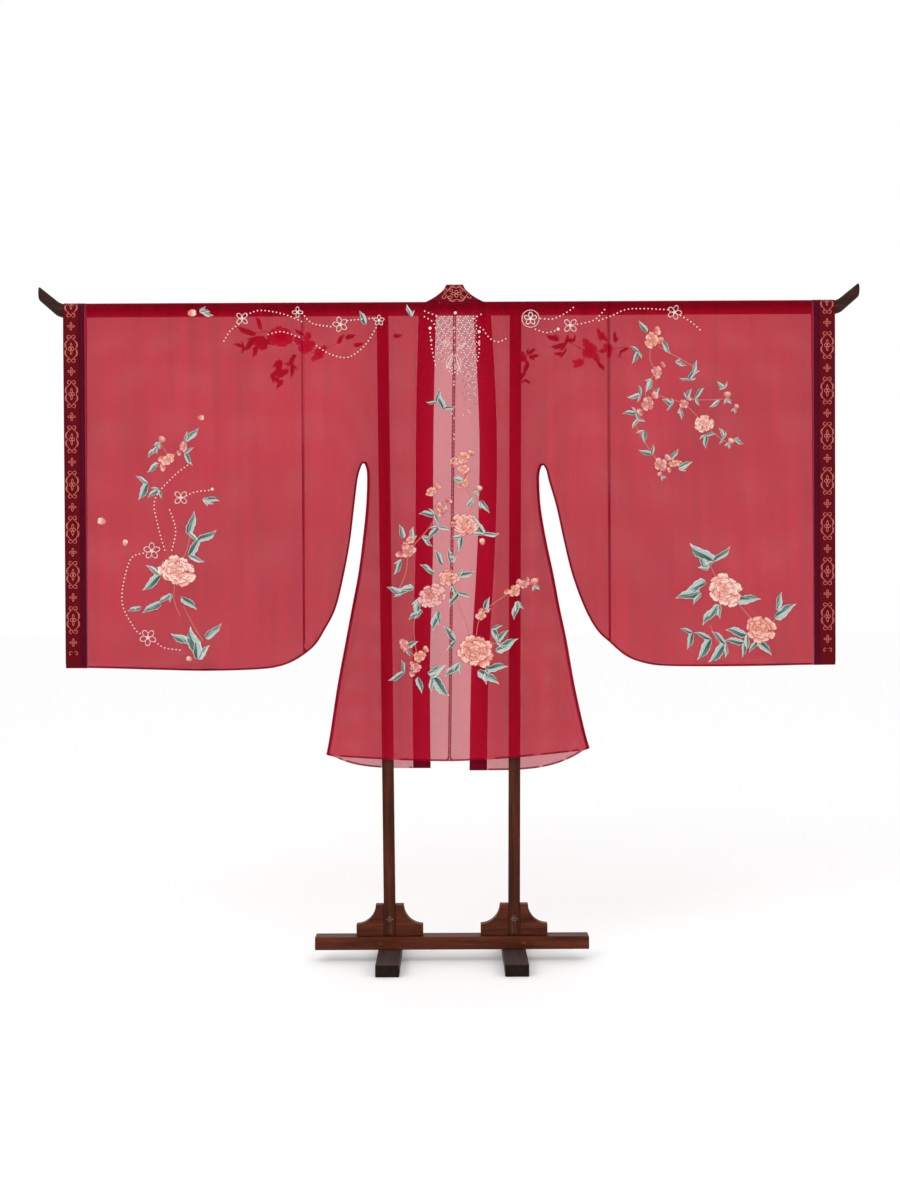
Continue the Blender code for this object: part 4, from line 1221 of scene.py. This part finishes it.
def blossom(centre, radius, tint):
    turn = RNG.uniform(0, 6.28)
    squash = (RNG.uniform(0.0, 3.1), RNG.uniform(0.75, 0.92))
    for _ in range(2):
        aside = RNG.uniform(0, 6.28)
        off = 0.95 * radius
        spot = (centre[0] + off * math.cos(aside), centre[1] + off * math.sin(aside))
        for lean in (-0.5, 0.4):
            petal(spot, aside + lean, 0.0, 0.75 * radius, 0.30 * radius, 0.0, RNG.choice(PETALS[tint]),
                  notch=0.1, reverse=REVERSE)
    for ring, (count, base, length, wide, level) in enumerate(BLOSSOM_RINGS):
        for index in range(count):
            angle = turn + 0.63 * ring + 2 * math.pi * (index + RNG.uniform(-0.15, 0.15)) / count
            scale = radius * RNG.uniform(0.80, 1.10)
            paint = PETALS[tint][(index + ring) % 2 if RNG.random() < 0.8 else 0]
            petal(centre, angle, scale * base, scale * length, scale * wide, level, paint, frill=0.05,
                  notch=0.14, reverse=REVERSE if ring == 0 else None, squash=squash)
    stamens(centre, 4, turn, 1.6, 0.22 * radius, 0.06 * radius, 0.0020)


def bud(centre, radius, tint):
    angle = RNG.uniform(-1.2, 1.2)
    for lean, share, level in ((-0.35, 1, 0.0), (0.35, 1, 0.0003), (0.0, 0, 0.0006)):
        petal(centre, angle + lean, 0.0, 1.9 * radius, 0.62 * radius, level, PETALS[tint][share],
              reverse=REVERSE)
    for lean in (-0.6, 0.6):
        leaf(centre, angle + math.pi + lean, 1.6 * radius, LEAF_PALE)


def lone_petal(centre, radius, tint):
    petal(centre, RNG.uniform(-2, 2), 0.0, 2.0 * radius, 0.8 * radius, 0.0, PETALS[tint][0], notch=0.15,
          reverse=REVERSE)


def line_sides(points, width, substeps=6, step=None):
    """Both sides of a narrow line in the plane, a little thinner at its ends."""
    line = through(points, substeps)
    if step:
        line = respace(line, step)
    along = np.gradient(line, axis=0)
    along /= np.maximum(np.linalg.norm(along, axis=1), 1e-9)[:, None]
    across = np.column_stack([-along[:, 1], along[:, 0]])
    across *= (0.5 * width * (0.6 + 0.4 * np.sin(math.pi * np.linspace(0.08, 0.92, len(line)))))[:, None]
    sides = np.stack([line - across, line + across], axis=1).reshape(-1, 2)
    uv = np.column_stack([np.repeat(np.linspace(0.3, 0.7, len(line)), 2), np.tile([0.35, 0.65], len(line))])
    return sides, grid_faces(len(line), 2), uv


def thread_line(points, width, paint, layer_sign=1.0, rise=0.0002):
    """A line of stem stitch through points given as x and z."""
    flat = [(x, layer_sign * pattern_v(z)) for x, z in points]
    sides, faces, uv = line_sides(flat, width, 8, 0.005)
    WORK.add_flat("embroidery_" + zone_of(*flat[len(flat) // 2]), paint, sides, 0.0006 + rise, faces, uv)


def leaf_group(x, z, length, centres, layer_sign, grow):
    """A leaf that points away from the nearest flower, often with one or two leaflets."""
    away = np.array([x, z]) - centres
    nearest = away[np.argmin(np.hypot(away[:, 0], away[:, 1]))]
    angle = math.atan2(-nearest[0], nearest[1]) + RNG.uniform(-0.45, 0.45)
    size = grow * length * RNG.uniform(0.92, 1.12)
    foot = (x + 0.5 * size * math.sin(angle), layer_sign * pattern_v(z - 0.5 * size * math.cos(angle)))
    paint = LEAF if length > 0.023 or RNG.random() < 0.6 else LEAF_PALE
    bend = RNG.choice((-1, 1)) * RNG.uniform(0.25, 0.60)
    leaf(foot, angle, size, paint, bend=bend, broad=RNG.uniform(0.175, 0.225))
    way = RNG.choice((-1, 1))
    for chance, sign, share in ((0.85, 1, 0.74), (0.50, -1, 0.55)):
        if RNG.random() < chance:
            turned = angle + sign * way * RNG.uniform(0.6, 1.0)
            paint = RNG.choice((LEAF, LEAF_PALE)) if sign > 0 else LEAF_PALE
            leaf(foot, turned, share * size, paint, bend=-sign * bend, broad=RNG.uniform(0.15, 0.19))


def spray(flowers, leaves, stems, layer_sign=1.0, grow=1.40):
    centres = metres([row[:2] for row in flowers])
    for points in stems:
        thread_line(metres(points), 0.0021, STEM, layer_sign)
    for x, z, length in metres(leaves):
        leaf_group(x, z, length, centres, layer_sign, grow)
    for x, z, radius, flower, tint in flowers:
        flower((x / 1000, layer_sign * pattern_v(z / 1000)), radius / 1000, tint)


# in millimetres: x, z, radius, then the flower and its tint
LEFT_SLEEVE_FLOWERS = [
    (-736, 1052, 53, peony, "cream"), (-757, 1353, 23, blossom, "peach"),
    (-716, 1386, 17, blossom, "rose"), (-780, 1397, 11, bud, "rose"),
    (-677, 1464, 10, lone_petal, "peach"), (-926, 1184, 13, lone_petal, "cream"),
    (-877, 1120, 10, lone_petal, "cream"), (-697, 812, 9, lone_petal, "cream"),
    (-702, 1744, 13, lone_petal, "cream"),
]
RIGHT_UPPER_FLOWERS = [
    (543, 1664, 27, blossom, "peach"), (557, 1581, 20, blossom, "rose"), (533, 1495, 24, blossom, "rose"),
    (631, 1494, 16, blossom, "rose"), (683, 1441, 29, peony, "cream"), (566, 1331, 22, blossom, "rose"),
    (603, 1334, 17, blossom, "peach"), (748, 1508, 11, bud, "rose"), (768, 1480, 8, bud, "rose"),
    (752, 1387, 9, bud, "cream"), (570, 1300, 8, bud, "rose"),
]
RIGHT_LOWER_FLOWERS = [(740, 992, 55, peony, "cream"), (834, 888, 45, peony, "peach")]
CENTRE_FLOWERS = [
    (37, 1353, 21, blossom, "peach"), (36, 1322, 18, blossom, "peach"), (10, 1342, 14, blossom, "peach"),
    (41, 1284, 15, blossom, "peach"), (-50, 1262, 18, blossom, "peach"), (-22, 1219, 21, blossom, "rose"),
    (39, 1174, 39, peony, "peach"), (75, 1262, 9, bud, "cream"), (88, 1118, 10, lone_petal, "cream"),
    (-112, 1103, 24, blossom, "rose"), (-106, 1132, 14, blossom, "peach"), (-4, 1029, 29, peony, "peach"),
    (-51, 981, 40, peony, "rose"), (81, 927, 17, blossom, "peach"), (172, 994, 22, blossom, "peach"),
    (199, 1011, 14, blossom, "rose"), (228, 1009, 11, bud, "peach"), (66, 830, 52, peony, "peach"),
    (-124, 850, 19, blossom, "rose"), (-83, 818, 21, blossom, "peach"), (-94, 789, 17, blossom, "rose"),
]
FRONT_FLOWERS = [
    (-456, 1686, 36, peony, "rose"), (-388, 1660, 26, blossom, "rose"), (-352, 1640, 19, blossom, "rose"),
    (381, 1643, 25, blossom, "rose"), (432, 1650, 17, blossom, "rose"), (414, 1684, 15, blossom, "rose"),
    (354, 1611, 14, blossom, "rose"), (200, 1625, 12, blossom, "rose"),
]
# in millimetres: x, z, length
LEFT_SLEEVE_LEAVES = [
    (-702, 1420, 30), (-790, 1372, 24), (-800, 1337, 24), (-700, 1358, 28), (-829, 1272, 30),
    (-794, 1259, 24), (-649, 1236, 26), (-806, 1030, 38), (-682, 1110, 44), (-705, 1178, 46),
    (-668, 1150, 34), (-797, 948, 34), (-762, 974, 30), (-714, 962, 32), (-718, 876, 40), (-672, 850, 50),
    (-648, 893, 36), (-846, 945, 22), (-655, 1752, 22),
]
RIGHT_UPPER_LEAVES = [
    (526, 1703, 24), (587, 1652, 24), (498, 1624, 24), (622, 1608, 20), (665, 1590, 24), (644, 1572, 20),
    (533, 1548, 22), (530, 1368, 24), (598, 1360, 22), (634, 1323, 26), (489, 1465, 24), (586, 1496, 22),
    (646, 1520, 18), (673, 1516, 20), (714, 1500, 20), (733, 1546, 20), (694, 1396, 24), (730, 1410, 18),
    (776, 1398, 18), (504, 1442, 20), (520, 1408, 22), (560, 1524, 18), (500, 1522, 22), (618, 1470, 18),
]
RIGHT_LOWER_LEAVES = [
    (697, 1098, 50), (649, 970, 46), (660, 1016, 36), (716, 926, 42), (798, 958, 40), (902, 922, 44),
    (893, 955, 30), (776, 868, 38), (679, 842, 48), (716, 838, 38), (839, 836, 34), (678, 1062, 32),
    (770, 846, 36), (640, 862, 30),
]
CENTRE_LEAVES = [
    (88, 1218, 28), (90, 1167, 30), (-56, 1193, 26), (-134, 1152, 26), (-95, 1142, 22), (-36, 1150, 28),
    (-60, 1135, 24), (23, 1124, 28), (-144, 1067, 26), (-34, 1074, 28), (6, 1088, 26), (37, 1044, 28),
    (-60, 1043, 26), (-120, 1010, 30), (-150, 990, 28), (-96, 958, 26), (-84, 928, 28), (-29, 920, 30),
    (20, 973, 28), (6, 995, 22), (101, 953, 26), (184, 945, 32), (124, 880, 30), (151, 836, 42),
    (90, 756, 40), (118, 778, 36), (-5, 872, 32), (-25, 752, 40), (15, 780, 36), (-90, 744, 30),
    (-143, 776, 30), (-104, 846, 22), (140, 866, 28), (-40, 774, 30), (-38, 1515, 24), (-14, 1503, 30),
    (62, 1232, 20), (20, 1290, 20), (-235, 1726, 30), (-100, 1747, 18),
]
FRONT_LEAVES = [
    (-541, 1689, 34), (-452, 1608, 34), (-292, 1674, 28), (-520, 1716, 28), (-404, 1700, 26),
    (286, 1684, 28), (330, 1676, 24), (224, 1638, 22), (455, 1680, 22), (404, 1602, 24), (-508, 1655, 30),
    (474, 1640, 20), (-570, 1660, 24), (-430, 1630, 30), (300, 1640, 24), (-140, 1690, 20),
    (210, 1560, 18), (170, 1700, 20), (-560, 1700, 30), (-545, 1672, 36), (-515, 1690, 36),
    (-500, 1668, 30), (-530, 1650, 26), (-470, 1600, 34), (-450, 1580, 36), (-480, 1570, 28),
    (-430, 1595, 30), (-455, 1555, 26), (-270, 1690, 26), (-245, 1660, 22), (215, 1600, 30),
    (230, 1625, 26), (200, 1575, 22), (300, 1665, 30),
]
# in millimetres: x and z of the points of each line
STEMS = [
    [(-757, 1353), (-716, 1386), (-700, 1425)], [(-780, 1397), (-757, 1353), (-800, 1337)],
    [(-700, 1190), (-705, 1120), (-736, 1052)], [(-736, 1052), (-745, 980), (-728, 930)],
    [(-720, 958), (-690, 900), (-667, 864)], [(543, 1664), (540, 1615), (557, 1581)],
    [(560, 1650), (622, 1615), (665, 1590)], [(557, 1581), (528, 1540), (533, 1495)],
    [(533, 1560), (560, 1520), (631, 1494), (683, 1441)], [(631, 1505), (700, 1505), (748, 1508)],
    [(683, 1441), (720, 1408), (752, 1387)], [(533, 1495), (500, 1450), (520, 1400), (566, 1331)],
    [(566, 1331), (603, 1334), (640, 1322)], [(697, 1100), (705, 1050), (740, 992)],
    [(740, 992), (780, 950), (834, 888)], [(834, 888), (870, 910), (902, 925)],
    [(700, 900), (716, 860), (750, 830)], [(37, 1353), (41, 1284), (60, 1230), (39, 1174)],
    [(41, 1284), (60, 1268), (75, 1262)], [(-50, 1262), (-34, 1240), (-22, 1219), (39, 1174)],
    [(39, 1174), (20, 1110), (-4, 1029)], [(-22, 1219), (-60, 1160), (-112, 1103)],
    [(-112, 1103), (-120, 1040), (-146, 986)], [(-4, 1029), (-30, 1005), (-51, 981)],
    [(-51, 981), (-90, 940), (-98, 880), (-87, 806)], [(-4, 1010), (30, 940), (66, 830)],
    [(66, 850), (81, 927), (130, 970), (178, 998)], [(178, 998), (205, 1010), (228, 1009)],
    [(90, 860), (127, 850), (150, 836)], [(-87, 806), (-124, 850)], [(30, 820), (0, 790), (-19, 752)],
]
FRONT_STEMS = [
    [(-541, 1695), (-500, 1700), (-456, 1691), (-400, 1665), (-365, 1642), (-300, 1670)],
    [(286, 1690), (330, 1665), (381, 1643), (432, 1647), (480, 1655)],
    [(354, 1611), (370, 1630), (381, 1643)], [(200, 1625), (224, 1640)],
]

spray(LEFT_SLEEVE_FLOWERS, LEFT_SLEEVE_LEAVES, STEMS)
spray(RIGHT_UPPER_FLOWERS, RIGHT_UPPER_LEAVES, [])
spray(RIGHT_LOWER_FLOWERS, RIGHT_LOWER_LEAVES, [])
spray(CENTRE_FLOWERS, CENTRE_LEAVES, [])
spray(FRONT_FLOWERS, FRONT_LEAVES, FRONT_STEMS, -1.0, 1.15)


def ball_shape(subdivisions):
    shape = bmesh.new()
    bmesh.ops.create_icosphere(shape, subdivisions=subdivisions, radius=1.0)
    verts = np.array([tuple(v.co) for v in shape.verts])
    faces = [tuple(v.index for v in f.verts) for f in shape.faces]
    shape.free()
    return verts, faces


BALLS = {True: ball_shape(2), False: ball_shape(1)}
BIG_BEAD = 0.0019
STRING_BEAD = 0.0021
STRING_PITCH = 0.0104


def beads(flat, radius, paint, kind="pearls"):
    """Round beads on the cloth, at points of the flat cut."""
    flat = np.asarray(flat, float)
    verts, faces = BALLS[radius > BIG_BEAD]
    for (x, v), centre in zip(flat, lift_off(flat, 0.85 * radius + THREAD_LIFT)):
        WORK.add(kind + "_" + zone_of(x, v), paint, centre + verts * radius, faces, np.zeros((len(verts), 2)))


def beads_at(places, radius, paint, kind="pearls"):
    """Beads at places given as x and z in metres."""
    places = np.reshape(places, (-1, 2))
    beads(np.column_stack([places[:, 0], pattern_v(places[:, 1])]), radius, paint, kind)


def turns_of(count):
    return 2 * math.pi * np.arange(count) / count


def bead_petal(x, z, turn, radius):
    """Places round a slender petal that points away from x and z."""
    count = max(9, round(700 * radius))
    turns = 2 * math.pi * (np.arange(count) + 0.5) / count
    near, far = 0.16 * radius, radius
    along = 0.5 * (near + far) - 0.5 * (far - near) * np.cos(turns)
    across = 0.30 * radius * np.sin(turns)
    return np.column_stack([x + along * math.cos(turn) - across * math.sin(turn),
                            z + along * math.sin(turn) + across * math.cos(turn)])


def bead_flower(x, z, radius, petals, turn, size=0.0016):
    """Petals outlined with small beads round a pearl."""
    for index in range(petals):
        beads_at(bead_petal(x, z, turn + 2 * math.pi * index / petals, radius), size, PEARL)
    beads_at((x, z), 0.0026, PEARL)


def medallion(x, z, radius):
    """A ring of beads round a bead flower."""
    turns = turns_of(round(radius * 1500))
    beads_at(np.column_stack([x + radius * np.cos(turns), z + radius * np.sin(turns)]), 0.0018, PEARL)
    bead_flower(x, z, 0.74 * radius, 5, 0.5 * math.pi, 0.0018)


# in millimetres: x and z of the points of each string
STRINGS = [
    [(-697, 1342), (-748, 1302), (-794, 1243), (-786, 1175), (-768, 1108)],
    [(-754, 1216), (-738, 1162), (-749, 1108)],
    [(-826, 1100), (-862, 1080), (-884, 974), (-853, 901), (-836, 884)],
    [(-796, 862), (-770, 845), (-729, 839)], [(-638, 1269), (-684, 1264), (-708, 1254)],
    [(-565, 1713), (-587, 1697), (-605, 1669)],
    [(-543, 1739), (-513, 1750), (-474, 1747), (-432, 1736), (-396, 1720)],
    [(-486, 1686), (-448, 1693), (-403, 1678)],
    [(-356, 1655), (-319, 1632), (-270, 1624), (-225, 1657), (-196, 1702)],
    [(-394, 1742), (-367, 1715), (-318, 1706)], [(-273, 1722), (-205, 1728)],
    [(246, 1725), (280, 1724), (318, 1742), (334, 1754)], [(232, 1696), (262, 1687), (284, 1692)],
    [(345, 1709), (390, 1720), (418, 1748)],
    [(403, 1719), (441, 1733), (475, 1748), (526, 1750), (588, 1747)],
    [(622, 1731), (650, 1714), (674, 1693)], [(-65, 1746), (-34, 1734)],
    [(-66, 1731), (-44, 1718), (-36, 1701)], [(86, 1737), (66, 1725)],
    [(74, 1706), (90, 1698), (101, 1682), (116, 1667), (134, 1663), (152, 1671)],
    [(-51, 1688), (-47, 1650), (-37, 1602)], [(81, 1676), (81, 1640), (76, 1612)],
]
# in millimetres: x, z and radius, then the number of petals and the turn of the first
BEAD_FLOWERS = [
    (-803, 1106, 22, 5, 0.3), (-815, 873, 22, 5, 0.9), (-724, 1249, 20, 4, 0.785),
    (-556, 1729, 18, 4, 0.785), (-407, 1745, 14, 4, 0.0), (-292, 1712, 20, 5, 0.6),
    (326, 1706, 20, 4, 0.785), (606, 1740, 19, 5, 1.2), (-188, 1722, 14, 5, 0.3),
]
for points in STRINGS:
    beads_at(respace(through(metres(points), 8), STRING_PITCH), STRING_BEAD, PEARL)
for x, z, radius, petals, turn in BEAD_FLOWERS:
    bead_flower(x / 1000, z / 1000, radius / 1000, petals, turn)
medallion(0.219, 1.725, 0.023)
beads_at(metres([(293, 1696), (-638, 1271), (-51, 1700), (81, 1690), (17, 1741)]), 0.0044, PEARL)
beads_at(metres([(24, 1722), (14, 1700), (-48, 1668), (80, 1660)]), 0.0040, ROSE_BEAD)

NET_TOP_Z = 1.732
NET_LOW_Z = 1.585
NET_RIGHT_LOW_Z = 1.46
NET_STEP = 0.0072
NET_ROW_STEP = 0.8 * NET_STEP
NET_BEAD = 0.0018
LOOPS_Z = 1.640
CURL_Z = 1.586
# turn, length
NECK_LOOPS = [(2.41, 0.042), (0.58, 0.038), (-1.98, 0.053), (-1.29, 0.057)]
# share of a loop's length, share of its width
LOOP_LINE = [(0.12, 0.0), (0.40, 0.8), (0.68, 1.0), (1.0, 0.0)]


def net():
    """Rows of small beads and sequins below the neck, thinner lower down."""
    small = []
    flakes = []
    for row in range(int((NET_TOP_Z - NET_RIGHT_LOW_Z) / NET_ROW_STEP)):
        z = NET_TOP_Z - NET_ROW_STEP * row
        for column in range(-8, 10):
            x = CENTRE_TOP_X + (column + 0.5 * (row % 2)) * NET_STEP
            off = x - CENTRE_TOP_X
            fade = (NET_TOP_Z - z) / (NET_TOP_Z - (NET_LOW_Z if off < 0.02 else NET_RIGHT_LOW_Z))
            if not -0.052 < off < 0.058 or abs(off) < 0.0045 or RNG.random() < fade ** 2.2:
                continue
            (small if (row + column) % 3 else flakes).append((x, z))
    beads_at(small, NET_BEAD, PEARL, "net")
    beads_at(flakes, NET_BEAD, SEQUIN, "net")


def neck_loops():
    """Four slender thread loops below the neck, with a curl of beads."""
    for turn, reach in NECK_LOOPS:
        foot = np.array([CENTRE_TOP_X - 0.002, LOOPS_Z])
        way = np.array([math.cos(turn), math.sin(turn)])
        aside = np.array([-way[1], way[0]])
        for bulge in (-0.13, 0.0, 0.13):
            points = [foot + reach * (along * way + bulge * wide * aside) for along, wide in LOOP_LINE]
            thread_line(points, 0.0016 if bulge else 0.0030, SLENDER, rise=0.0006)
    steps = [(0.016, 0.9 * index) for index in range(7)] + [(0.008, 1.6 * index) for index in range(4)]
    curl = [(CENTRE_TOP_X + reach * math.sin(turn), CURL_Z + 0.6 * reach * math.cos(turn))
            for reach, turn in steps]
    beads_at(curl, 0.0020, PEARL)


def rose_beads():
    """Rose beads beside the centre back seam, below the neck."""
    beads_at([(CENTRE_TOP_X - 0.001, z) for z in (1.690, 1.675, 1.655, 1.600, 1.590)], 0.0027, ROSE_BEAD)
    for z in (1.556, 1.548, 1.482, 1.470, 1.458, 1.414, 1.402):
        beads_at((0.0105 + RNG.uniform(-0.004, 0.004), z), 0.0030, ROSE_BEAD, "net")


def seam_beads():
    """Small crimson beads along the centre back seam."""
    rows = np.arange(pattern_v(1.735), pattern_v(BACK_HEM_Z + 0.01), 0.0115)
    beads([(centre_x(v), v) for v in rows], 0.0024, KNOT, "seam_beads")


net()
neck_loops()
rose_beads()
seam_beads()


# Brocade figures on the cuffs and the nape

FIGURE_LINE = 0.0012
FIGURE_PITCH = 0.1215
OVAL_HALF = (0.0172, 0.0350)
CROSS_HALF = (0.0098, 0.0108)
NAPE_SHIFT = 0.0045
NAPE_HALF_LENGTH = 0.0340
NAPE_HALF_HEIGHT = 0.0205
# a quarter of the oval: its pointed arch, the scroll at its tip and the line beside it
OVAL_QUARTER = [
    [(0.0, 1.0), (0.16, 0.80), (0.58, 0.62), (0.86, 0.34), (0.72, 0.0)],
    [(0.14, 0.98), (0.42, 1.04), (0.64, 0.92), (0.52, 0.78), (0.34, 0.86)],
    [(0.92, 0.08), (1.0, 0.32), (0.84, 0.54)],
]


def round_point(reach, turn, height=None):
    return (reach * math.cos(turn), (reach if height is None else height) * math.sin(turn))


def oval_lines():
    """Lines of a pointed oval figure with a rosette and scrolls, in a unit box."""
    lines = [[(sx * a, sy * b) for a, b in line] for sx in (-1, 1) for sy in (-1, 1) for line in OVAL_QUARTER]
    for index in range(4):
        turn = 0.5 * math.pi * index
        left, right = (round_point(0.30, turn + aside, 0.26) for aside in (-0.5, 0.5))
        lines.append([(0.0, 0.0), left, round_point(0.46, turn, 0.44), right, (0.0, 0.0)])
    return lines


def cross_lines():
    """Lines of a cross of four petals."""
    lines = []
    for index in range(4):
        turn = 0.5 * math.pi * (1 + index)
        base = round_point(0.12, turn)
        left, right = (round_point(0.62, turn + aside) for aside in (-0.42, 0.42))
        lines.append([base, left, round_point(1.0, turn), right, base])
    return lines


def nape_lines():
    """The oval with a second ring of leaves round its rosette."""
    leaf_steps = ((0.44, 0.0), (0.64, -0.24), (0.84, 0.0), (0.64, 0.24), (0.44, 0.0))
    turns = [math.pi * (0.25 + 0.5 * index) for index in range(4)]
    leaves = [[round_point(reach, turn + aside) for reach, aside in leaf_steps] for turn in turns]
    return oval_lines() + leaves


def cuff_figures():
    """The two figures by turns all round each cuff."""
    low = float(pattern_v(0.793)) - 0.012
    count = 1 + int(low // (0.5 * FIGURE_PITCH))
    for side, word in SIDES:
        middle = side * (CUFF_EDGE_X - 0.5 * BROCADE_WIDTH)
        for index in range(-count, count + 1):
            v = (index + 0.22) * 0.5 * FIGURE_PITCH
            lines, (half_x, half_v) = (cross_lines(), CROSS_HALF) if index % 2 else (oval_lines(), OVAL_HALF)
            for points in lines:
                placed = [(middle + half_x * a, v + half_v * b) for a, b in points]
                if max(abs(along) for _, along in placed) > low:
                    continue
                sides, faces, uv = line_sides(placed, FIGURE_LINE)
                WORK.add_flat("figures_cuff_" + word, GOLD, sides, 0.0010, faces, uv)


def on_band(along, across, out):
    """A point over the face of the band, by its length and its width."""
    row = np.interp(along, BAND_ALONG, np.arange(len(BAND_ALONG)))
    low = int(min(row, len(BAND_ALONG) - 2))
    part = row - low
    column = min(0.999, max(0.0, across / BAND_WIDTH)) * BAND_STRIPS
    first = int(column)
    corner = BAND_POINTS[low:low + 2, first:first + 2]
    inner, outer = mix(corner[0], corner[1], part)
    way = np.cross(corner[1, 0] - corner[0, 0], corner[0, 1] - corner[0, 0])
    way /= np.linalg.norm(way)
    return mix(inner, outer, column - first) + way * (-out if way[1] > 0 else out)


def nape_figure():
    """The long figure laid sideways on a brocade patch on the band at the nape."""
    start = BAND_ALONG[NAPE] + NAPE_SHIFT
    face = 0.5 * BAND_THICKNESS
    across, along = np.meshgrid(np.linspace(-1, 1, 9), np.linspace(-1, 1, 17), indexing="ij")
    a = (across * np.sqrt(1.0 - 0.5 * along ** 2)).ravel() * 1.06 * NAPE_HALF_HEIGHT
    b = (along * np.sqrt(1.0 - 0.5 * across ** 2)).ravel() * 1.12 * NAPE_HALF_LENGTH
    verts = [on_band(start + far, 0.5 * BAND_WIDTH + high, face + 0.0002) for high, far in zip(a, b)]
    WORK.add("figures_nape", BROCADE, verts, grid_faces(9, 17), np.column_stack([a, b]))
    for points in nape_lines():
        scaled = [(start + NAPE_HALF_LENGTH * b, 0.5 * BAND_WIDTH + NAPE_HALF_HEIGHT * a) for a, b in points]
        sides, faces, uv = line_sides(scaled, 0.95 * FIGURE_LINE)
        verts = [on_band(*side, face + 0.0006) for side in sides]
        WORK.add("figures_nape", NAPE_GOLD, verts, faces, uv)


cuff_figures()
nape_figure()

PIECES = WORK.make()
for name, piece in PIECES.items():
    ride(piece, {"figures_cuff": "brocade", "figures_nape": "band"}.get(name[:12], "gauze"))


def declare_sheets():
    """Gather, for each piece of cloth, the pieces sewn on it; nothing more is done with them."""
    for node, (piece, size, area) in SHEETS.items():
        on_it = [other for name, other in PIECES.items() if name.endswith("_" + node)]
        if node.startswith("cuff_brocade"):
            on_it = [PIECES["figures_cuff_" + node.split("_")[-1]]]
        if node == "collar_band":
            on_it = [PIECES["figures_nape"]]


declare_sheets()


# Room, light and camera

FLOOR_REACH = 40.0
LAMP_TARGET = (0.0, 0.0, 1.1)


def room():
    """A wide pale floor under a white sky, the same from every side."""
    verts = [(x, y, 0.0) for y in (-FLOOR_REACH, FLOOR_REACH) for x in (-FLOOR_REACH, FLOOR_REACH)]
    build("room", verts, [(0, 1, 3, 2)], [FLOOR])


def lamp(name, place_at, size, power):
    data = bpy.data.lights.new(name, "AREA")
    data.shape = "RECTANGLE"
    data.size, data.size_y = size
    data.energy = power
    made = in_scene(name, data)
    made.location = place_at
    made.rotation_euler = (Vector(LAMP_TARGET) - Vector(place_at)).to_track_quat("-Z", "Y").to_euler()


def sky():
    world = bpy.data.worlds.new("studio")
    world.use_nodes = True
    background = world.node_tree.nodes["Background"]
    background.inputs["Color"].default_value = (1.0, 1.0, 1.0, 1.0)
    background.inputs["Strength"].default_value = 1.0
    bpy.context.scene.world = world
    bpy.context.scene.view_settings.view_transform = "Standard"


def camera():
    data = bpy.data.cameras.new("camera")
    data.sensor_width = 36.0
    data.lens = 46.67
    data.clip_end = 60.0
    made = in_scene("camera", data)
    made.matrix_world = (Matrix.Translation((-0.001, -4.2, 0.970)) @ Matrix.Rotation(math.radians(90), 4, "X")
                         @ Matrix.Rotation(math.radians(-0.28), 4, "Z"))
    bpy.context.scene.camera = made


room()
lamp("key", (-2.6, -4.0, 3.6), (2.4, 2.4), 62.0)
lamp("fill", (3.0, -4.2, 2.2), (2.6, 2.6), 30.0)
sky()
camera()
